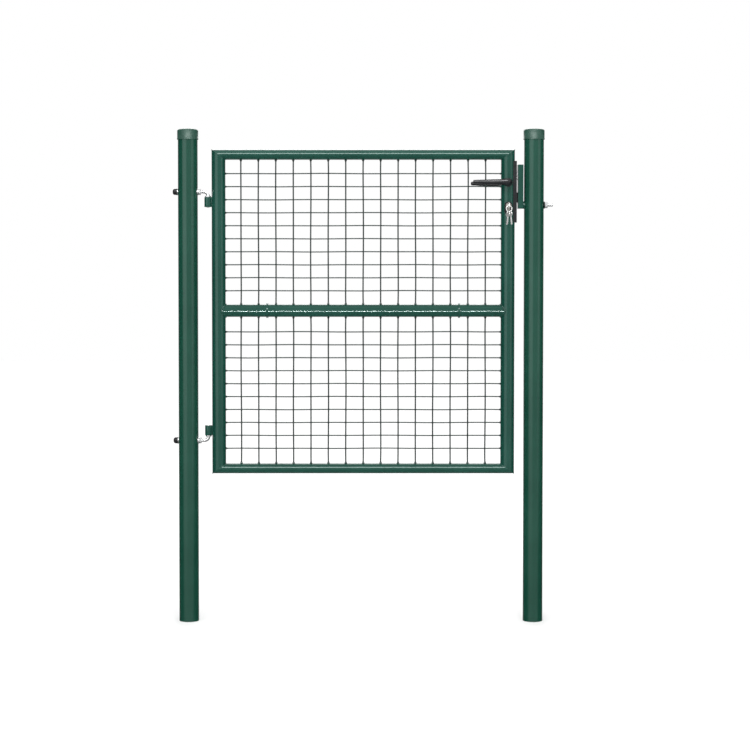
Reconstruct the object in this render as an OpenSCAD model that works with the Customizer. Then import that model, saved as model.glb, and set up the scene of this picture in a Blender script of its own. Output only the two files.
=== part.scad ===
// Single-leaf wire-mesh garden gate with two round posts, J-bolt hinges and a tube lock.
// Millimetres. Origin at the centre of the hinge post's foot, +X to the latch post,
// +Y to the back of the gate, +Z up. The gate is drawn closed, with its deadbolt thrown.

/* [Posts] */
// Distance between the two post axes
post_spacing = 1050; // [870:10:1400]
// Outside diameter of a post tube
post_d = 60; // [50:1:76]
// Wall of a post tube
post_wall = 1.5; // [1.2:0.1:3]
// Height that a post and its cap stand above the leaf
post_over = 64; // [40:1:150]
// Height of the cap's skirt and crown together
cap_h = 34; // [24:1:45]
// Thickness of the cap's wall
cap_wall = 2; // [1.5:0.1:3]
// Rise of the cap's crown above its shoulder
cap_crown = 3; // [1:0.5:8]
// Radius of the cap's rounded shoulder
cap_shoulder = 5; // [2:0.5:8]

/* [Leaf frame] */
// Gap from the hinge post's tube to the leaf
hinge_gap = 42; // [38:1:60]
// Gap from the leaf to the latch post's tube
latch_gap = 28; // [26:0.5:40]
// Ground clearance under the leaf
leaf_z = 451; // [200:1:480]
// Height of the leaf
leaf_h = 985; // [820:5:1400]
// Outside diameter of a stile tube
stile_d = 42; // [42:0.5:51]
// Wall of the frame tubes
frame_wall = 1.5; // [1.2:0.1:2.5]
// Height of the oval top and bottom rails, which are as deep as a stile
rail_h = 31; // [26:1:42]
// Outside diameter of the middle rail
middle_rail_d = 38; // [30:1:40]
// Height of the middle rail's axis above the leaf's lower edge
middle_rail_rise = 496.5; // [420:0.5:560]

/* [Mesh] */
// Diameter of an upright wire
upright_wire_d = 4; // [3:0.1:5]
// Diameter of a cross wire
cross_wire_d = 3.2; // [2.5:0.1:5]
// Spacing of the upright wires
upright_pitch = 53; // [40:0.5:80]
// Spacing of the cross wires
cross_pitch = 39.5; // [30:0.5:80]
// Depth that two crossing wires melt into each other at a weld
weld_depth = 0.3; // [0.2:0.05:0.6]
// Distance from the leaf's middle to each strap on the middle rail
strap_offset = 290; // [150:5:330]
// Width of a strap
strap_w = 6; // [4:0.5:10]
// Thickness of a strap
strap_t = 1; // [0.6:0.1:2]

/* [Hinges] */
// Distance of the upper hinge bolt's axis below the leaf's upper edge
upper_hinge_inset = 128; // [90:1:200]
// Distance of the lower hinge bolt's axis above the leaf's lower edge
lower_hinge_inset = 101; // [60:1:200]
// Distance from the hinge axis to the leaf's edge
hinge_setback = 11; // [11:0.5:14]
// Diameter of the hinge, striker and post bolts
bolt_d = 10; // [8:0.5:12]
// Radius of the bend in a hinge bolt, at its centre line
bend_r = 12; // [10:0.5:14]
// Outside diameter of a hinge sleeve
sleeve_d = 22; // [20:0.5:22]
// Length of a hinge sleeve
sleeve_l = 30; // [20:1:45]
// Distance along the hinge axis from the bolt's axis to the sleeve
sleeve_drop = 16; // [15.5:0.5:22]
// Width of the web that welds a sleeve to the stile
web_w = 10; // [6:1:12]
// Length of pin that stands past the sleeve
pin_over = 1.5; // [0.5:0.5:6]
// Outside diameter of the collar that carries a sleeve
collar_d = 18; // [14:0.5:20]
// Large diameter of the conical saddle between the post and its nut
saddle_d = 24; // [20:0.5:28]
// Small diameter of the conical saddle
saddle_top_d = 18; // [17:0.5:20]
// Distance from the post's tube to the saddle's flat end
saddle_l = 4; // [3:0.5:6]
// Width of a hex nut across its flats
nut_af = 16; // [15:0.5:18]
// Thickness of an inner hinge nut
inner_nut_t = 5.6; // [4:0.1:8]
// Thickness of an outer nut
outer_nut_t = 8.4; // [6:0.1:10]
// Diameter of the outer washers of the hinges
hinge_washer_d = 20; // [18:0.5:24]
// Thickness of the outer washers of the hinges
hinge_washer_t = 2; // [1.5:0.1:3]
// Outside diameter of the plastic cap on an outer nut
nut_cap_d = 21; // [20.5:0.5:24]
// Length of the plastic cap on an outer nut
nut_cap_l = 14; // [12.5:0.5:18]
// Wall of the plastic nut cap
nut_cap_wall = 1; // [0.6:0.1:1]

/* [Striker] */
// Distance from the key's axis down to the striker box's lower end
striker_below = 9; // [6:0.5:20]
// Height of the striker box above the latch bolt
striker_above = 19; // [8:0.5:30]
// Gap from the lock's faceplate to the striker box
face_gap = 3.5; // [3:0.5:5]
// Depth of the striker box through the gate
striker_depth = 34; // [28:1:40]
// Wall of the striker box
striker_wall = 2.5; // [2:0.1:3]
// Radius of the striker box's upright edges
striker_edge_r = 3; // [2:0.5:5]
// Height of the stud's axis above the striker box's lower end
stud_rise = 11; // [11:0.5:14]
// Gap from the striker box to the post, which the spacer fills
spacer_l = 3; // [3:0.5:5]
// Diameter of the round spacer on the stud
spacer_d = 23; // [20:0.5:26]
// Diameter of the stud's welded head
stud_head_d = 16; // [14:0.5:16]
// Thickness of the stud's welded head
stud_head_t = 2.5; // [1.5:0.5:3]
// Diameter of the striker's outer washer
striker_washer_d = 22; // [20:0.5:30]
// Thickness of the striker's outer washer
striker_washer_t = 3; // [2:0.5:4]
// Length of stud that stands past its nut
stud_over = 15.5; // [4:0.5:24]

/* [Lock] */
// Distance of the lever's spindle axis below the leaf's upper edge
spindle_inset = 100; // [80:1:200]
// Distance from the spindle's axis down to the key's axis
key_drop = 70; // [68:0.5:92]
// Room beside the bolts inside the lock case
case_room = 0.8; // [0.5:0.1:1]
// Wall of the lock case
case_wall = 1.2; // [1:0.1:1.2]
// Height of the lock case above the spindle's axis
case_rise = 52; // [48:1:56]
// Height of the lock case below the key's axis
case_below = 38; // [34:1:42]
// Gap from the lock case's back to the inside of the stile
case_gap = 0.2; // [0.1:0.1:0.5]
// Distance that the faceplate stands out past the leaf's edge
faceplate_out = 5; // [4:0.5:6]
// Depth of the faceplate through the gate
faceplate_w = 30; // [26:1:30]
// Length of faceplate past the lock case at each end
faceplate_over = 13; // [12:1:20]
// Distance from the faceplate's ends to its screws
face_screw_inset = 7; // [6:0.5:8]
// Diameter of the faceplate screws
face_screw_d = 4; // [3:0.5:5]
// Diameter of the screw heads
screw_head_d = 8; // [7:0.5:9]
// Depth of the screw heads' countersink
screw_head_t = 2.2; // [1.5:0.1:3]

/* [Latch and deadbolt] */
// Height of the latch bolt
latch_h = 25.5; // [20:0.5:28]
// Thickness of the latch bolt and the deadbolt
bolt_t = 10; // [8:0.5:12]
// Distance that the latch bolt stands out of the faceplate
latch_throw = 10; // [8:0.5:10]
// Distance from the spindle's axis up to the latch bolt
latch_rise = 9.5; // [9:0.5:12]
// Height of the deadbolt
deadbolt_h = 30; // [24:1:34]
// Distance from the key's axis up to the deadbolt
deadbolt_rise = 10; // [10:0.5:13]
// Distance that the deadbolt stands out when it is thrown
deadbolt_throw = 14; // [10:0.5:14]
// Distance from the spindle's axis to the deadbolt's inner end
deadbolt_inner = 15; // [15:0.5:17]
// Reach of the follower's arm from the spindle's axis
arm_reach = 16; // [15:0.5:18]
// Thickness of the follower's arm across the gate
arm_w = 6; // [4:0.5:7]
// Thickness of the hook at the latch bolt's tail
hook_t = 2.5; // [2:0.1:2.5]

/* [Levers] */
// Side of the square spindle
spindle_w = 8; // [7:0.5:8]
// Diameter of the lever's neck and of the follower
neck_d = 16; // [15:0.5:17]
// Diameter of a handle rose
handle_rose_d = 26; // [24:0.5:26]
// Height of a rose above the tube's surface
rose_t = 5; // [3:0.5:7]
// Distance from the gate's middle plane to a lever's grip
grip_y = 60; // [56:1:64]
// Reach of a lever from its axis
lever_reach = 109; // [90:1:125]
// Diameter of a lever's head
lever_head_d = 22; // [20:0.5:24]
// Length of a lever's head
lever_head_l = 18; // [16:0.5:20]
// Diameter of a lever's grip at its head
grip_d = 17; // [14:0.5:18]
// Diameter of a lever's grip at its tip
grip_tip_d = 12; // [10:0.5:14]
// Diameter of the grub screws
grub_d = 5; // [4:0.5:5]

/* [Key cylinder] */
// Diameter of the cylinder's round part
cylinder_d = 17; // [16.5:0.5:17]
// Width of the cylinder's lower lobe
lobe_w = 10; // [9:0.5:10]
// Overall height of the cylinder's profile
cylinder_h = 33; // [31:0.5:33]
// Length of cylinder that stands out of its rose
cylinder_proud = 4; // [2:0.5:6]
// Diameter of the turning plug
plug_d = 13; // [12:0.5:13]
// Reach of the cam from the key's axis
cam_reach = 13; // [11:0.5:13]
// Width of the cam's lobe
cam_w = 8; // [6:0.5:8]
// Half of the gap between the two plugs, which the cam fills
cam_half_l = 4.5; // [4:0.1:5]
// Width of a cylinder rose
cylinder_rose_w = 24; // [22:0.5:25]
// Diameter of the cylinder's fixing screw
fix_screw_d = 5; // [4:0.5:5]

/* [Keys] */
// Thickness of a key
key_t = 2; // [1.6:0.1:2.2]
// Height of a key's blade
blade_h = 7.6; // [6:0.2:8]
// Length of blade inside the plug
blade_l = 22; // [18:0.5:24]
// Length of a key's neck
key_neck_l = 4; // [3:0.5:6]
// Diameter of a key's bow
bow_d = 20; // [18:0.5:22]
// Diameter of the hole in a key's bow
bow_hole_d = 6.4; // [6:0.2:7]
// Mean diameter of the key ring
ring_d = 17; // [16:0.5:20]
// Diameter of the key ring's wire
ring_wire_d = 2.2; // [1.8:0.1:2.4]
// Length of a spare key from its hole to its tip
spare_l = 38; // [32:0.5:40]
// Distance between the two spare keys on the ring
spare_gap = 6; // [5:0.5:7]
// Turn of the spare keys about the upright
spare_turn = 30; // [20:1:35]
// Splay of each spare key to its side
spare_splay = 6; // [3:1:8]

/* [Clearances] */
// Radial clearance of a turning fit
run_gap = 0.08; // [0.05:0.01:0.1]
// Clearance between fixed pieces that seat on each other
seat_gap = 0.1; // [0.05:0.05:0.2]
// Clearance of a sliding bolt in its window
slide_gap = 0.3; // [0.2:0.05:0.5]
// Gap inside a key's hole over the wire that it hangs on
hang_gap = 0.75; // [0.6:0.05:1]
// Radial clearance of a bolt in a drilled hole
hole_gap = 0.25; // [0.2:0.05:0.5]

/* [Hidden] */
$fn = 64;
spill = 40;        // how far cutting solids run past what they cut
post_r = post_d / 2;
stile_r = stile_d / 2;
bolt_r = bolt_d / 2;
bore_r = bolt_r + hole_gap;
leaf_x0 = post_r + hinge_gap;
leaf_x1 = post_spacing - post_r - latch_gap;
leaf_x_mid = (leaf_x0 + leaf_x1) / 2;
leaf_z1 = leaf_z + leaf_h;
post_h = leaf_z1 + post_over;
tube_h = post_h - cap_crown - cap_wall;
middle_z = leaf_z + middle_rail_rise;
upper_hinge_z = leaf_z1 - upper_hinge_inset;
lower_hinge_z = leaf_z + lower_hinge_inset;
hinge_x = leaf_x0 - hinge_setback;
lock_x = leaf_x1 - stile_r;
face_x = leaf_x1 + faceplate_out;
spindle_z = leaf_z1 - spindle_inset;
key_z = spindle_z - key_drop;
case_w = bolt_t + 2 * (case_wall + case_room);
case_back = sqrt(pow(stile_r - frame_wall, 2) - pow(case_w / 2, 2)) - case_gap;
case_z0 = key_z - case_below;
case_z1 = spindle_z + case_rise;
case_x1 = leaf_x1;
latch_z0 = spindle_z + latch_rise;
striker_x0 = face_x + face_gap;
striker_x1 = post_spacing - post_r - spacer_l;
striker_w = striker_x1 - striker_x0;
striker_z = key_z - striker_below;
striker_h = latch_z0 + latch_h + striker_above - striker_z;
stud_z = striker_z + stud_rise;
deadbolt_z0 = key_z + deadbolt_rise;
plug_r = plug_d / 2;
lobe_drop = cylinder_h - cylinder_d / 2;
bridge_drop = cam_reach + 0.5;
fix_z = key_z - (bridge_drop + lobe_drop) / 2;
rose_y = stile_r + rose_t;
cylinder_half_l = rose_y + cylinder_proud;
ring_y = cylinder_half_l + key_neck_l + bow_d / 2 + 4;
ring_top_z = key_z - bow_hole_d / 2 + ring_wire_d / 2 + slide_gap;
ring_z = ring_top_z - ring_d / 2;
upright_count = floor((leaf_x1 - leaf_x0 - 2 * stile_d) / upright_pitch - 0.5);
between_uprights = upright_count % 2 == 0 ? 0 : 0.5;
strap_x = (round(strap_offset / upright_pitch - between_uprights) + between_uprights)
    * upright_pitch;  // the straps sit between two uprights

green = [0.18, 0.33, 0.27];
cap_green = [0.27, 0.42, 0.36];
wire_green = [0.25, 0.32, 0.30];
zinc = [0.80, 0.81, 0.82];
black = [0.08, 0.08, 0.09];
steel = [0.65, 0.66, 0.68];
brass = [0.72, 0.60, 0.32];

// A round bar along X from x0 to x1.
module bar_x(x0, x1, r0, r1 = -1) {
    translate([x0, 0, 0]) rotate([0, 90, 0]) cylinder(h = x1 - x0, r1 = r0, r2 = r1 < 0 ? r0 : r1);
}

// A round bar along Y from y0 to y1.
module bar_y(y0, y1, r0, r1 = -1) {
    translate([0, y0, 0]) rotate([-90, 0, 0]) cylinder(h = y1 - y0, r1 = r0, r2 = r1 < 0 ? r0 : r1);
}

// A box given by its two opposite corners.
module block(low, high) {
    translate(low) cube(high - low);
}

// An upright round bar.
module upright(x, z0, z1, r) {
    translate([x, 0, z0]) cylinder(h = z1 - z0, r = r);
}

// A hexagonal prism along X with its flats facing up and down.
module hex_x(x0, x1, flats) {
    translate([x0, 0, 0]) rotate([0, 90, 0]) cylinder(h = x1 - x0, r = flats / 2 / cos(30), $fn = 6);
}

// ---- Posts ----

// A post tube with bolt holes drilled through it along X at the given heights.
module post(x, holes) {
    color(green)
    difference() {
        upright(x, 0, tube_h, post_r);
        upright(x, -spill, tube_h + spill, post_r - post_wall);
        for (z = holes)
            translate([x, 0, z]) bar_x(-post_r - spill, post_r + spill, bore_r);
    }
}

// A slip-on cap: a skirt round the tube, a rounded shoulder and a low crown.
module post_cap(x) {
    skirt_r = post_r + hole_gap + cap_wall;
    shoulder_z = cap_h - cap_crown - cap_shoulder;
    shoulder = [for (i = [0:4]) [
        skirt_r - cap_shoulder * (1 - cos(i * 22.5)),
        shoulder_z + cap_shoulder * sin(i * 22.5)
    ]];
    crown_r = skirt_r - cap_shoulder;
    crown = [for (i = [1:4]) [crown_r * (1 - i / 4), cap_h - cap_crown * pow(1 - i / 4, 2)]];
    color(cap_green)
    translate([x, 0, post_h - cap_h])
    difference() {
        rotate_extrude() polygon(concat([[0, 0], [skirt_r, 0]], shoulder, crown));
        translate([0, 0, -spill]) cylinder(h = spill + cap_h - cap_crown - cap_wall, r = post_r + hole_gap);
    }
}

// ---- Hinges ----

// The bolt through the hinge post, bent by 90 degrees into the hinge pin.
module hinge_bolt(z, side) {
    tail = post_r + hinge_washer_t + outer_nut_t + 3;
    color(zinc)
    translate([0, 0, z]) mirror([0, 0, side < 0 ? 1 : 0]) {
        bar_x(-tail, hinge_x - bend_r, bolt_r);
        translate([hinge_x - bend_r, 0, bend_r]) rotate([90, 0, 0]) rotate([0, 0, -90])
            rotate_extrude(angle = 90) translate([bend_r, 0]) circle(r = bolt_r);
        upright(hinge_x, bend_r, sleeve_drop + sleeve_l + pin_over - 1, bolt_r);
        translate([hinge_x, 0, sleeve_drop + sleeve_l + pin_over - 1])
            cylinder(h = 1, r1 = bolt_r, r2 = bolt_r - 1);
    }
}

// The conical saddle that seats a hinge nut on the round post.
module hinge_saddle(z) {
    flat_x = post_r + saddle_l;
    foot_x = post_r - 4;
    color(zinc)
    difference() {
        translate([0, 0, z]) union() {
            bar_x(foot_x, flat_x, saddle_d / 2, saddle_top_d / 2);
            bar_x(foot_x - 4, foot_x, saddle_d / 2);
        }
        upright(0, z - spill, z + spill, post_r + seat_gap);
        translate([0, 0, z]) bar_x(0, flat_x + spill, bore_r);
    }
}

// A hex nut along X with its two faces chamfered to a circle.
module nut(x0, thick) {
    corner_r = nut_af / 2 / cos(30);
    chamfer = 1;
    difference() {
        intersection() {
            hex_x(x0, x0 + thick, nut_af);
            union() {
                bar_x(x0, x0 + chamfer, nut_af / 2, nut_af / 2 + chamfer * 1.7);
                bar_x(x0 + chamfer, x0 + thick - chamfer, corner_r + 1);
                bar_x(x0 + thick - chamfer, x0 + thick, nut_af / 2 + chamfer * 1.7, nut_af / 2);
            }
        }
        bar_x(x0 - 1, x0 + thick + 1, bolt_r + run_gap);
    }
}

module hinge_inner_nut(z) {
    color(zinc) translate([0, 0, z]) nut(post_r + saddle_l, inner_nut_t);
}

module hinge_washer(z) {
    x1 = -post_r - seat_gap;
    color(zinc) translate([0, 0, z])
    difference() {
        bar_x(x1 - hinge_washer_t, x1, hinge_washer_d / 2);
        bar_x(x1 - hinge_washer_t - 1, x1 + 1, bore_r);
    }
}

module hinge_outer_nut(z) {
    color(zinc) translate([0, 0, z]) nut(-post_r - seat_gap - hinge_washer_t - outer_nut_t, outer_nut_t);
}

// The round-ended plastic cap pushed over an outer nut.
module hinge_nut_cap(z) {
    x1 = -post_r - seat_gap - hinge_washer_t;
    cap_r = nut_cap_d / 2;
    round_r = 4;
    end_wall = 1.4;
    color(black) translate([0, 0, z])
    difference() {
        union() {
            bar_x(x1 - nut_cap_l + round_r, x1, cap_r);
            translate([x1 - nut_cap_l + round_r, 0, 0]) rotate([0, -90, 0])
                rotate_extrude() intersection() {
                    square([cap_r, round_r]);
                    union() {
                        square([cap_r - round_r, round_r]);
                        translate([cap_r - round_r, 0]) circle(r = round_r);
                    }
                }
        }
        bar_x(x1 - nut_cap_l + end_wall + 0.6, x1 + 1, cap_r - nut_cap_wall);
    }
}

// The collar on the hinge pin that carries a sleeve's end.
module hinge_collar(z, side) {
    color(zinc)
    translate([0, 0, z]) mirror([0, 0, side < 0 ? 1 : 0])
    difference() {
        upright(hinge_x, bend_r, sleeve_drop - 2 * seat_gap, collar_d / 2);
        upright(hinge_x, bend_r - 1, sleeve_drop + 1, bolt_r + run_gap);
    }
}

// The sleeve welded to the stile, which turns on the hinge pin.
module hinge_sleeve(z, side) {
    z0 = side > 0 ? z + sleeve_drop : z - sleeve_drop - sleeve_l;
    color(green)
    difference() {
        union() {
            upright(hinge_x, z0, z0 + sleeve_l, sleeve_d / 2);
            block([hinge_x, -web_w / 2, z0], [leaf_x0 + stile_r, web_w / 2, z0 + sleeve_l]);
        }
        upright(hinge_x, z0 - 1, z0 + sleeve_l + 1, bolt_r + run_gap);
        upright(leaf_x0 + stile_r, z0 - 1, z0 + sleeve_l + 1, stile_r);
    }
}

// ---- Striker ----

// The box on the latch post with a window for the latch and one for the deadbolt.
module striker_box() {
    cavity = [striker_w - 2 * striker_wall, striker_depth - 2 * striker_wall];
    color(green)
    difference() {
        translate([striker_x0, -striker_depth / 2, striker_z])
            linear_extrude(striker_h) rounded([striker_w, striker_depth], striker_edge_r);
        translate([striker_x0 + striker_wall, -cavity[1] / 2, striker_z + striker_wall])
            linear_extrude(striker_h - 2 * striker_wall) square(cavity);
        striker_window(latch_z0, latch_h);
        striker_window(deadbolt_z0, deadbolt_h);
        translate([0, 0, stud_z]) bar_x(striker_x1 - striker_wall - 1, striker_x1 + 1, bore_r);
    }
}

// A rectangle with round corners and its low corner at the origin.
module rounded(size, r) {
    translate([r, 0]) square([size[0] - 2 * r, size[1]]);
    translate([0, r]) square([size[0], size[1] - 2 * r]);
    for (x = [r, size[0] - r], y = [r, size[1] - r])
        translate([x, y]) circle(r = r);
}

// A window in the striker's near wall, larger than the bolt that enters it.
module striker_window(z0, h) {
    room = 2.5;
    block([striker_x0 - 1, -bolt_t / 2 - room, z0 - room],
          [striker_x0 + striker_wall + 1, bolt_t / 2 + room, z0 + h + room]);
}

// The stud that holds the striker box to the latch post.
module striker_stud() {
    inner_x = striker_x1 - striker_wall;
    end_x = post_spacing + post_r + seat_gap + striker_washer_t + outer_nut_t + stud_over;
    color(zinc) translate([0, 0, stud_z]) {
        bar_x(inner_x - stud_head_t, inner_x, stud_head_d / 2);
        bar_x(inner_x, end_x - 1, bolt_r);
        bar_x(end_x - 1, end_x, bolt_r, bolt_r - 1);
    }
}

// The collar between the striker box and the round post.
module striker_spacer() {
    color(green)
    difference() {
        translate([0, 0, stud_z]) difference() {
            bar_x(striker_x1, post_spacing - post_r + 4, spacer_d / 2);
            bar_x(striker_x1 - 1, post_spacing, bore_r);
        }
        upright(post_spacing, stud_z - spill, stud_z + spill, post_r + seat_gap);
    }
}

module striker_washer() {
    x0 = post_spacing + post_r + seat_gap;
    color(black) translate([0, 0, stud_z])
    difference() {
        bar_x(x0, x0 + striker_washer_t, striker_washer_d / 2);
        bar_x(x0 - 1, x0 + striker_washer_t + 1, bore_r);
    }
}

module striker_nut() {
    color(zinc) translate([0, 0, stud_z])
        nut(post_spacing + post_r + seat_gap + striker_washer_t, outer_nut_t);
}

// ---- Leaf frame ----

// The trapezium, seen from the front, that a stile fills between its two mitres.
module stile_zone(x_out, x_in) {
    lean = rail_h / stile_d;
    over = 5;
    s = x_in > x_out ? 1 : -1;
    rotate([90, 0, 0]) linear_extrude(2 * stile_d, center = true) polygon([
        [x_out - s * over, leaf_z - over * lean], [x_out - s * over, leaf_z1 + over * lean],
        [x_in + s * over, leaf_z1 - rail_h - over * lean], [x_in + s * over, leaf_z + rail_h + over * lean]
    ]);
}

// The trapezium that the top rail fills between its two mitres.
module rail_zone() {
    lean = stile_d / rail_h;
    over = 4;
    z_in = leaf_z1 - rail_h;
    rotate([90, 0, 0]) linear_extrude(2 * stile_d, center = true) polygon([
        [leaf_x0 - over * lean, leaf_z1 + over], [leaf_x1 + over * lean, leaf_z1 + over],
        [leaf_x1 - stile_d - over * lean, z_in - over], [leaf_x0 + stile_d + over * lean, z_in - over]
    ]);
}

// A stile tube cut to its mitres.
module stile_tube(x, x_out, x_in) {
    intersection() {
        difference() {
            upright(x, leaf_z - spill, leaf_z1 + spill, stile_r);
            upright(x, leaf_z - 2 * spill, leaf_z1 + 2 * spill, stile_r - frame_wall);
        }
        stile_zone(x_out, x_in);
    }
}

module hinge_stile() {
    color(green) stile_tube(leaf_x0 + stile_r, leaf_x0, leaf_x0 + stile_d);
}

// The lock stile is slotted for the lock case and drilled for spindle, cylinder and screws.
module lock_stile() {
    slot_w = case_w + 2 * slide_gap;
    color(green)
    difference() {
        stile_tube(lock_x, leaf_x1, leaf_x1 - stile_d);
        block([lock_x, -slot_w / 2, case_z0 - slide_gap], [leaf_x1 + 1, slot_w / 2, case_z1 + slide_gap]);
        translate([lock_x, 0, spindle_z]) bar_y(-spill, spill, neck_d / 2 + 1);
        cylinder_profile(spill, 1);
        for (z = face_screw_heights())
            translate([lock_x, 0, z]) bar_x(0, spill, face_screw_d / 2 + seat_gap);
    }
}

// An oval tube along X, as deep as a stile.
module rail_tube(z, out_w, out_h) {
    translate([leaf_x0 - spill, 0, z]) rotate([90, 0, 90])
        linear_extrude(leaf_x1 - leaf_x0 + 2 * spill)
        scale([out_w / out_h, 1]) circle(d = out_h);
}

// The top rail, between its two mitres.
module top_rail() {
    z = leaf_z1 - rail_h / 2;
    inner_ratio = (stile_d - 2 * frame_wall) / stile_d;
    color(green)
    intersection() {
        difference() {
            rail_tube(z, stile_d, rail_h);
            rail_tube(z, stile_d * inner_ratio, rail_h * inner_ratio);
        }
        rail_zone();
    }
}

// The bottom rail is the top rail turned over.
module bottom_rail() {
    color(green)
    translate([0, 0, leaf_z + leaf_z1]) mirror([0, 0, 1]) top_rail();
}

// The round middle rail is coped to the two stiles.
module middle_rail() {
    color(green)
    difference() {
        translate([0, 0, middle_z]) difference() {
            bar_x(leaf_x0 + stile_r, lock_x, middle_rail_d / 2);
            bar_x(leaf_x0, leaf_x1, middle_rail_d / 2 - frame_wall);
        }
        for (x = [leaf_x0 + stile_r, lock_x])
            upright(x, middle_z - spill, middle_z + spill, stile_r);
    }
}

// The places of a row of wires, centred in an opening that runs from low to high, with
// three quarters of a pitch or more left free at each end.
function wire_row(low, high, pitch) =
    let (count = floor((high - low) / pitch - 0.5))
    [for (i = [0:count - 1]) (low + high) / 2 + (i - (count - 1) / 2) * pitch];

// A welded wire panel between two heights: uprights in front, cross wires behind.
module mesh_panel(z0, z1) {
    x0 = leaf_x0 + stile_d;
    x1 = leaf_x1 - stile_d;
    wire_y = (upright_wire_d + cross_wire_d) / 4 - weld_depth / 2;
    color(wire_green) {
        for (x = wire_row(x0, x1, upright_pitch))
            translate([x, -wire_y, z0]) cylinder(h = z1 - z0, d = upright_wire_d);
        for (z = wire_row(z0, z1, cross_pitch))
            translate([0, wire_y, z]) bar_x(x0, x1, cross_wire_d / 2);
    }
}

// A band round the middle rail with a lug above and below.
module rail_strap(side) {
    x = leaf_x_mid + side * strap_x;
    inner_r = middle_rail_d / 2 + seat_gap;
    lug_w = 4;
    lug_h = 2.5;
    color(green)
    difference() {
        translate([0, 0, middle_z]) union() {
            bar_x(x - strap_w / 2, x + strap_w / 2, inner_r + strap_t);
            block([x - strap_w / 2, -lug_w / 2, -inner_r - strap_t - lug_h],
                  [x + strap_w / 2, lug_w / 2, inner_r + strap_t + lug_h]);
        }
        translate([0, 0, middle_z]) bar_x(x - strap_w, x + strap_w, inner_r);
    }
}

// ---- Lock ----

function face_screw_heights() = [
    case_z0 - faceplate_over + face_screw_inset,
    case_z1 + faceplate_over - face_screw_inset
];

// The key cylinder's outline along Y, grown by grow, from -half to half.
module cylinder_profile(half, grow) {
    foot_z = lobe_drop - lobe_w / 2;
    translate([lock_x, 0, key_z]) {
        bar_y(-half, half, cylinder_d / 2 + grow);
        block([-lobe_w / 2 - grow, -half, -foot_z], [lobe_w / 2 + grow, half, 0]);
        translate([0, 0, -foot_z]) bar_y(-half, half, lobe_w / 2 + grow);
    }
}

// The space that a bolt slides in, grown by the sliding clearance.
module bolt_window(x0, x1, z0, h) {
    block([x0, -bolt_t / 2 - slide_gap, z0 - slide_gap],
          [x1, bolt_t / 2 + slide_gap, z0 + h + slide_gap]);
}

module lock_case() {
    x0 = lock_x - case_back;
    color(steel)
    difference() {
        block([x0, -case_w / 2, case_z0], [case_x1, case_w / 2, case_z1]);
        block([x0 + case_wall, -case_w / 2 + case_wall, case_z0 + case_wall],
              [case_x1 - case_wall, case_w / 2 - case_wall, case_z1 - case_wall]);
        translate([lock_x, 0, spindle_z]) bar_y(-case_w, case_w, neck_d / 2 + run_gap);
        cylinder_profile(case_w, seat_gap);
        bolt_window(lock_x, case_x1 + 1, latch_z0, latch_h);
        bolt_window(lock_x, case_x1 + 1, deadbolt_z0, deadbolt_h);
        translate([lock_x, 0, fix_z]) bar_x(0, spill, fix_screw_d / 2 + seat_gap);
    }
}

// The faceplate wraps the stile's edge and guides both bolts.
module lock_faceplate() {
    x0 = lock_x + 13;
    color(black)
    difference() {
        block([x0, -faceplate_w / 2, case_z0 - faceplate_over],
              [face_x, faceplate_w / 2, case_z1 + faceplate_over]);
        upright(lock_x, case_z0 - spill, case_z1 + spill, stile_r + seat_gap);
        block([x0 - 1, -case_w / 2 - slide_gap, case_z0], [case_x1 + seat_gap, case_w / 2 + slide_gap, case_z1]);
        bolt_window(lock_x, face_x + 1, latch_z0, latch_h);
        bolt_window(lock_x, face_x + 1, deadbolt_z0, deadbolt_h);
        for (z = face_screw_heights())
            translate([0, 0, z]) screw_room(face_screw_d);
        translate([0, 0, fix_z]) screw_room(fix_screw_d);
    }
}

// The hole and countersink of a screw driven into the faceplate.
module screw_room(d) {
    bar_x(lock_x, face_x + 1, d / 2 + seat_gap);
    bar_x(face_x - screw_head_t - seat_gap, face_x + seat_gap, d / 2 + seat_gap, screw_head_d / 2 + 2 * seat_gap);
}

// A countersunk screw from the faceplate inwards to x0.
module face_screw(x0, d) {
    bar_x(x0, face_x - screw_head_t, d / 2);
    bar_x(face_x - screw_head_t, face_x, d / 2, screw_head_d / 2);
}

module faceplate_screws() {
    color(steel)
    for (z = face_screw_heights())
        translate([0, 0, z]) face_screw(leaf_x1 - 5, face_screw_d);
}

module cylinder_screw() {
    color(steel) translate([0, 0, fix_z]) face_screw(lock_x, fix_screw_d);
}

// The profile cylinder, cut away in the middle for its cam.
module cylinder_body() {
    color(brass)
    difference() {
        cylinder_profile(cylinder_half_l, 0);
        translate([lock_x, 0, key_z]) bar_y(-spill, spill, plug_r + run_gap);
        block([lock_x - spill, -cam_half_l - seat_gap, key_z - bridge_drop],
              [lock_x + spill, cam_half_l + seat_gap, key_z + spill]);
        translate([lock_x, 0, fix_z]) bar_x(-seat_gap, spill, fix_screw_d / 2 + run_gap);
    }
}

// A plug from the end of the cylinder to the cam; side is -1 at the front.
module cylinder_plug(side) {
    slot_half = blade_h / 2 + 0.2;
    color(brass)
    mirror([0, side < 0 ? 0 : 1, 0])
    translate([lock_x, 0, key_z])
    difference() {
        bar_y(-cylinder_half_l - 0.2, -cam_half_l - seat_gap, plug_r);
        block([-key_t / 2 - 0.15, -cylinder_half_l - 1, -slot_half],
              [key_t / 2 + 0.15, -cylinder_half_l + blade_l + 1, slot_half]);
    }
}

module cylinder_cam() {
    color(steel)
    translate([lock_x, 0, key_z])
    intersection() {
        union() {
            bar_y(-cam_half_l, cam_half_l, cylinder_d / 2 - 0.5);
            block([-cam_w / 2, -cam_half_l, -cam_reach - 1], [cam_w / 2, cam_half_l, 0]);
        }
        bar_y(-spill, spill, cam_reach);
    }
}

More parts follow.
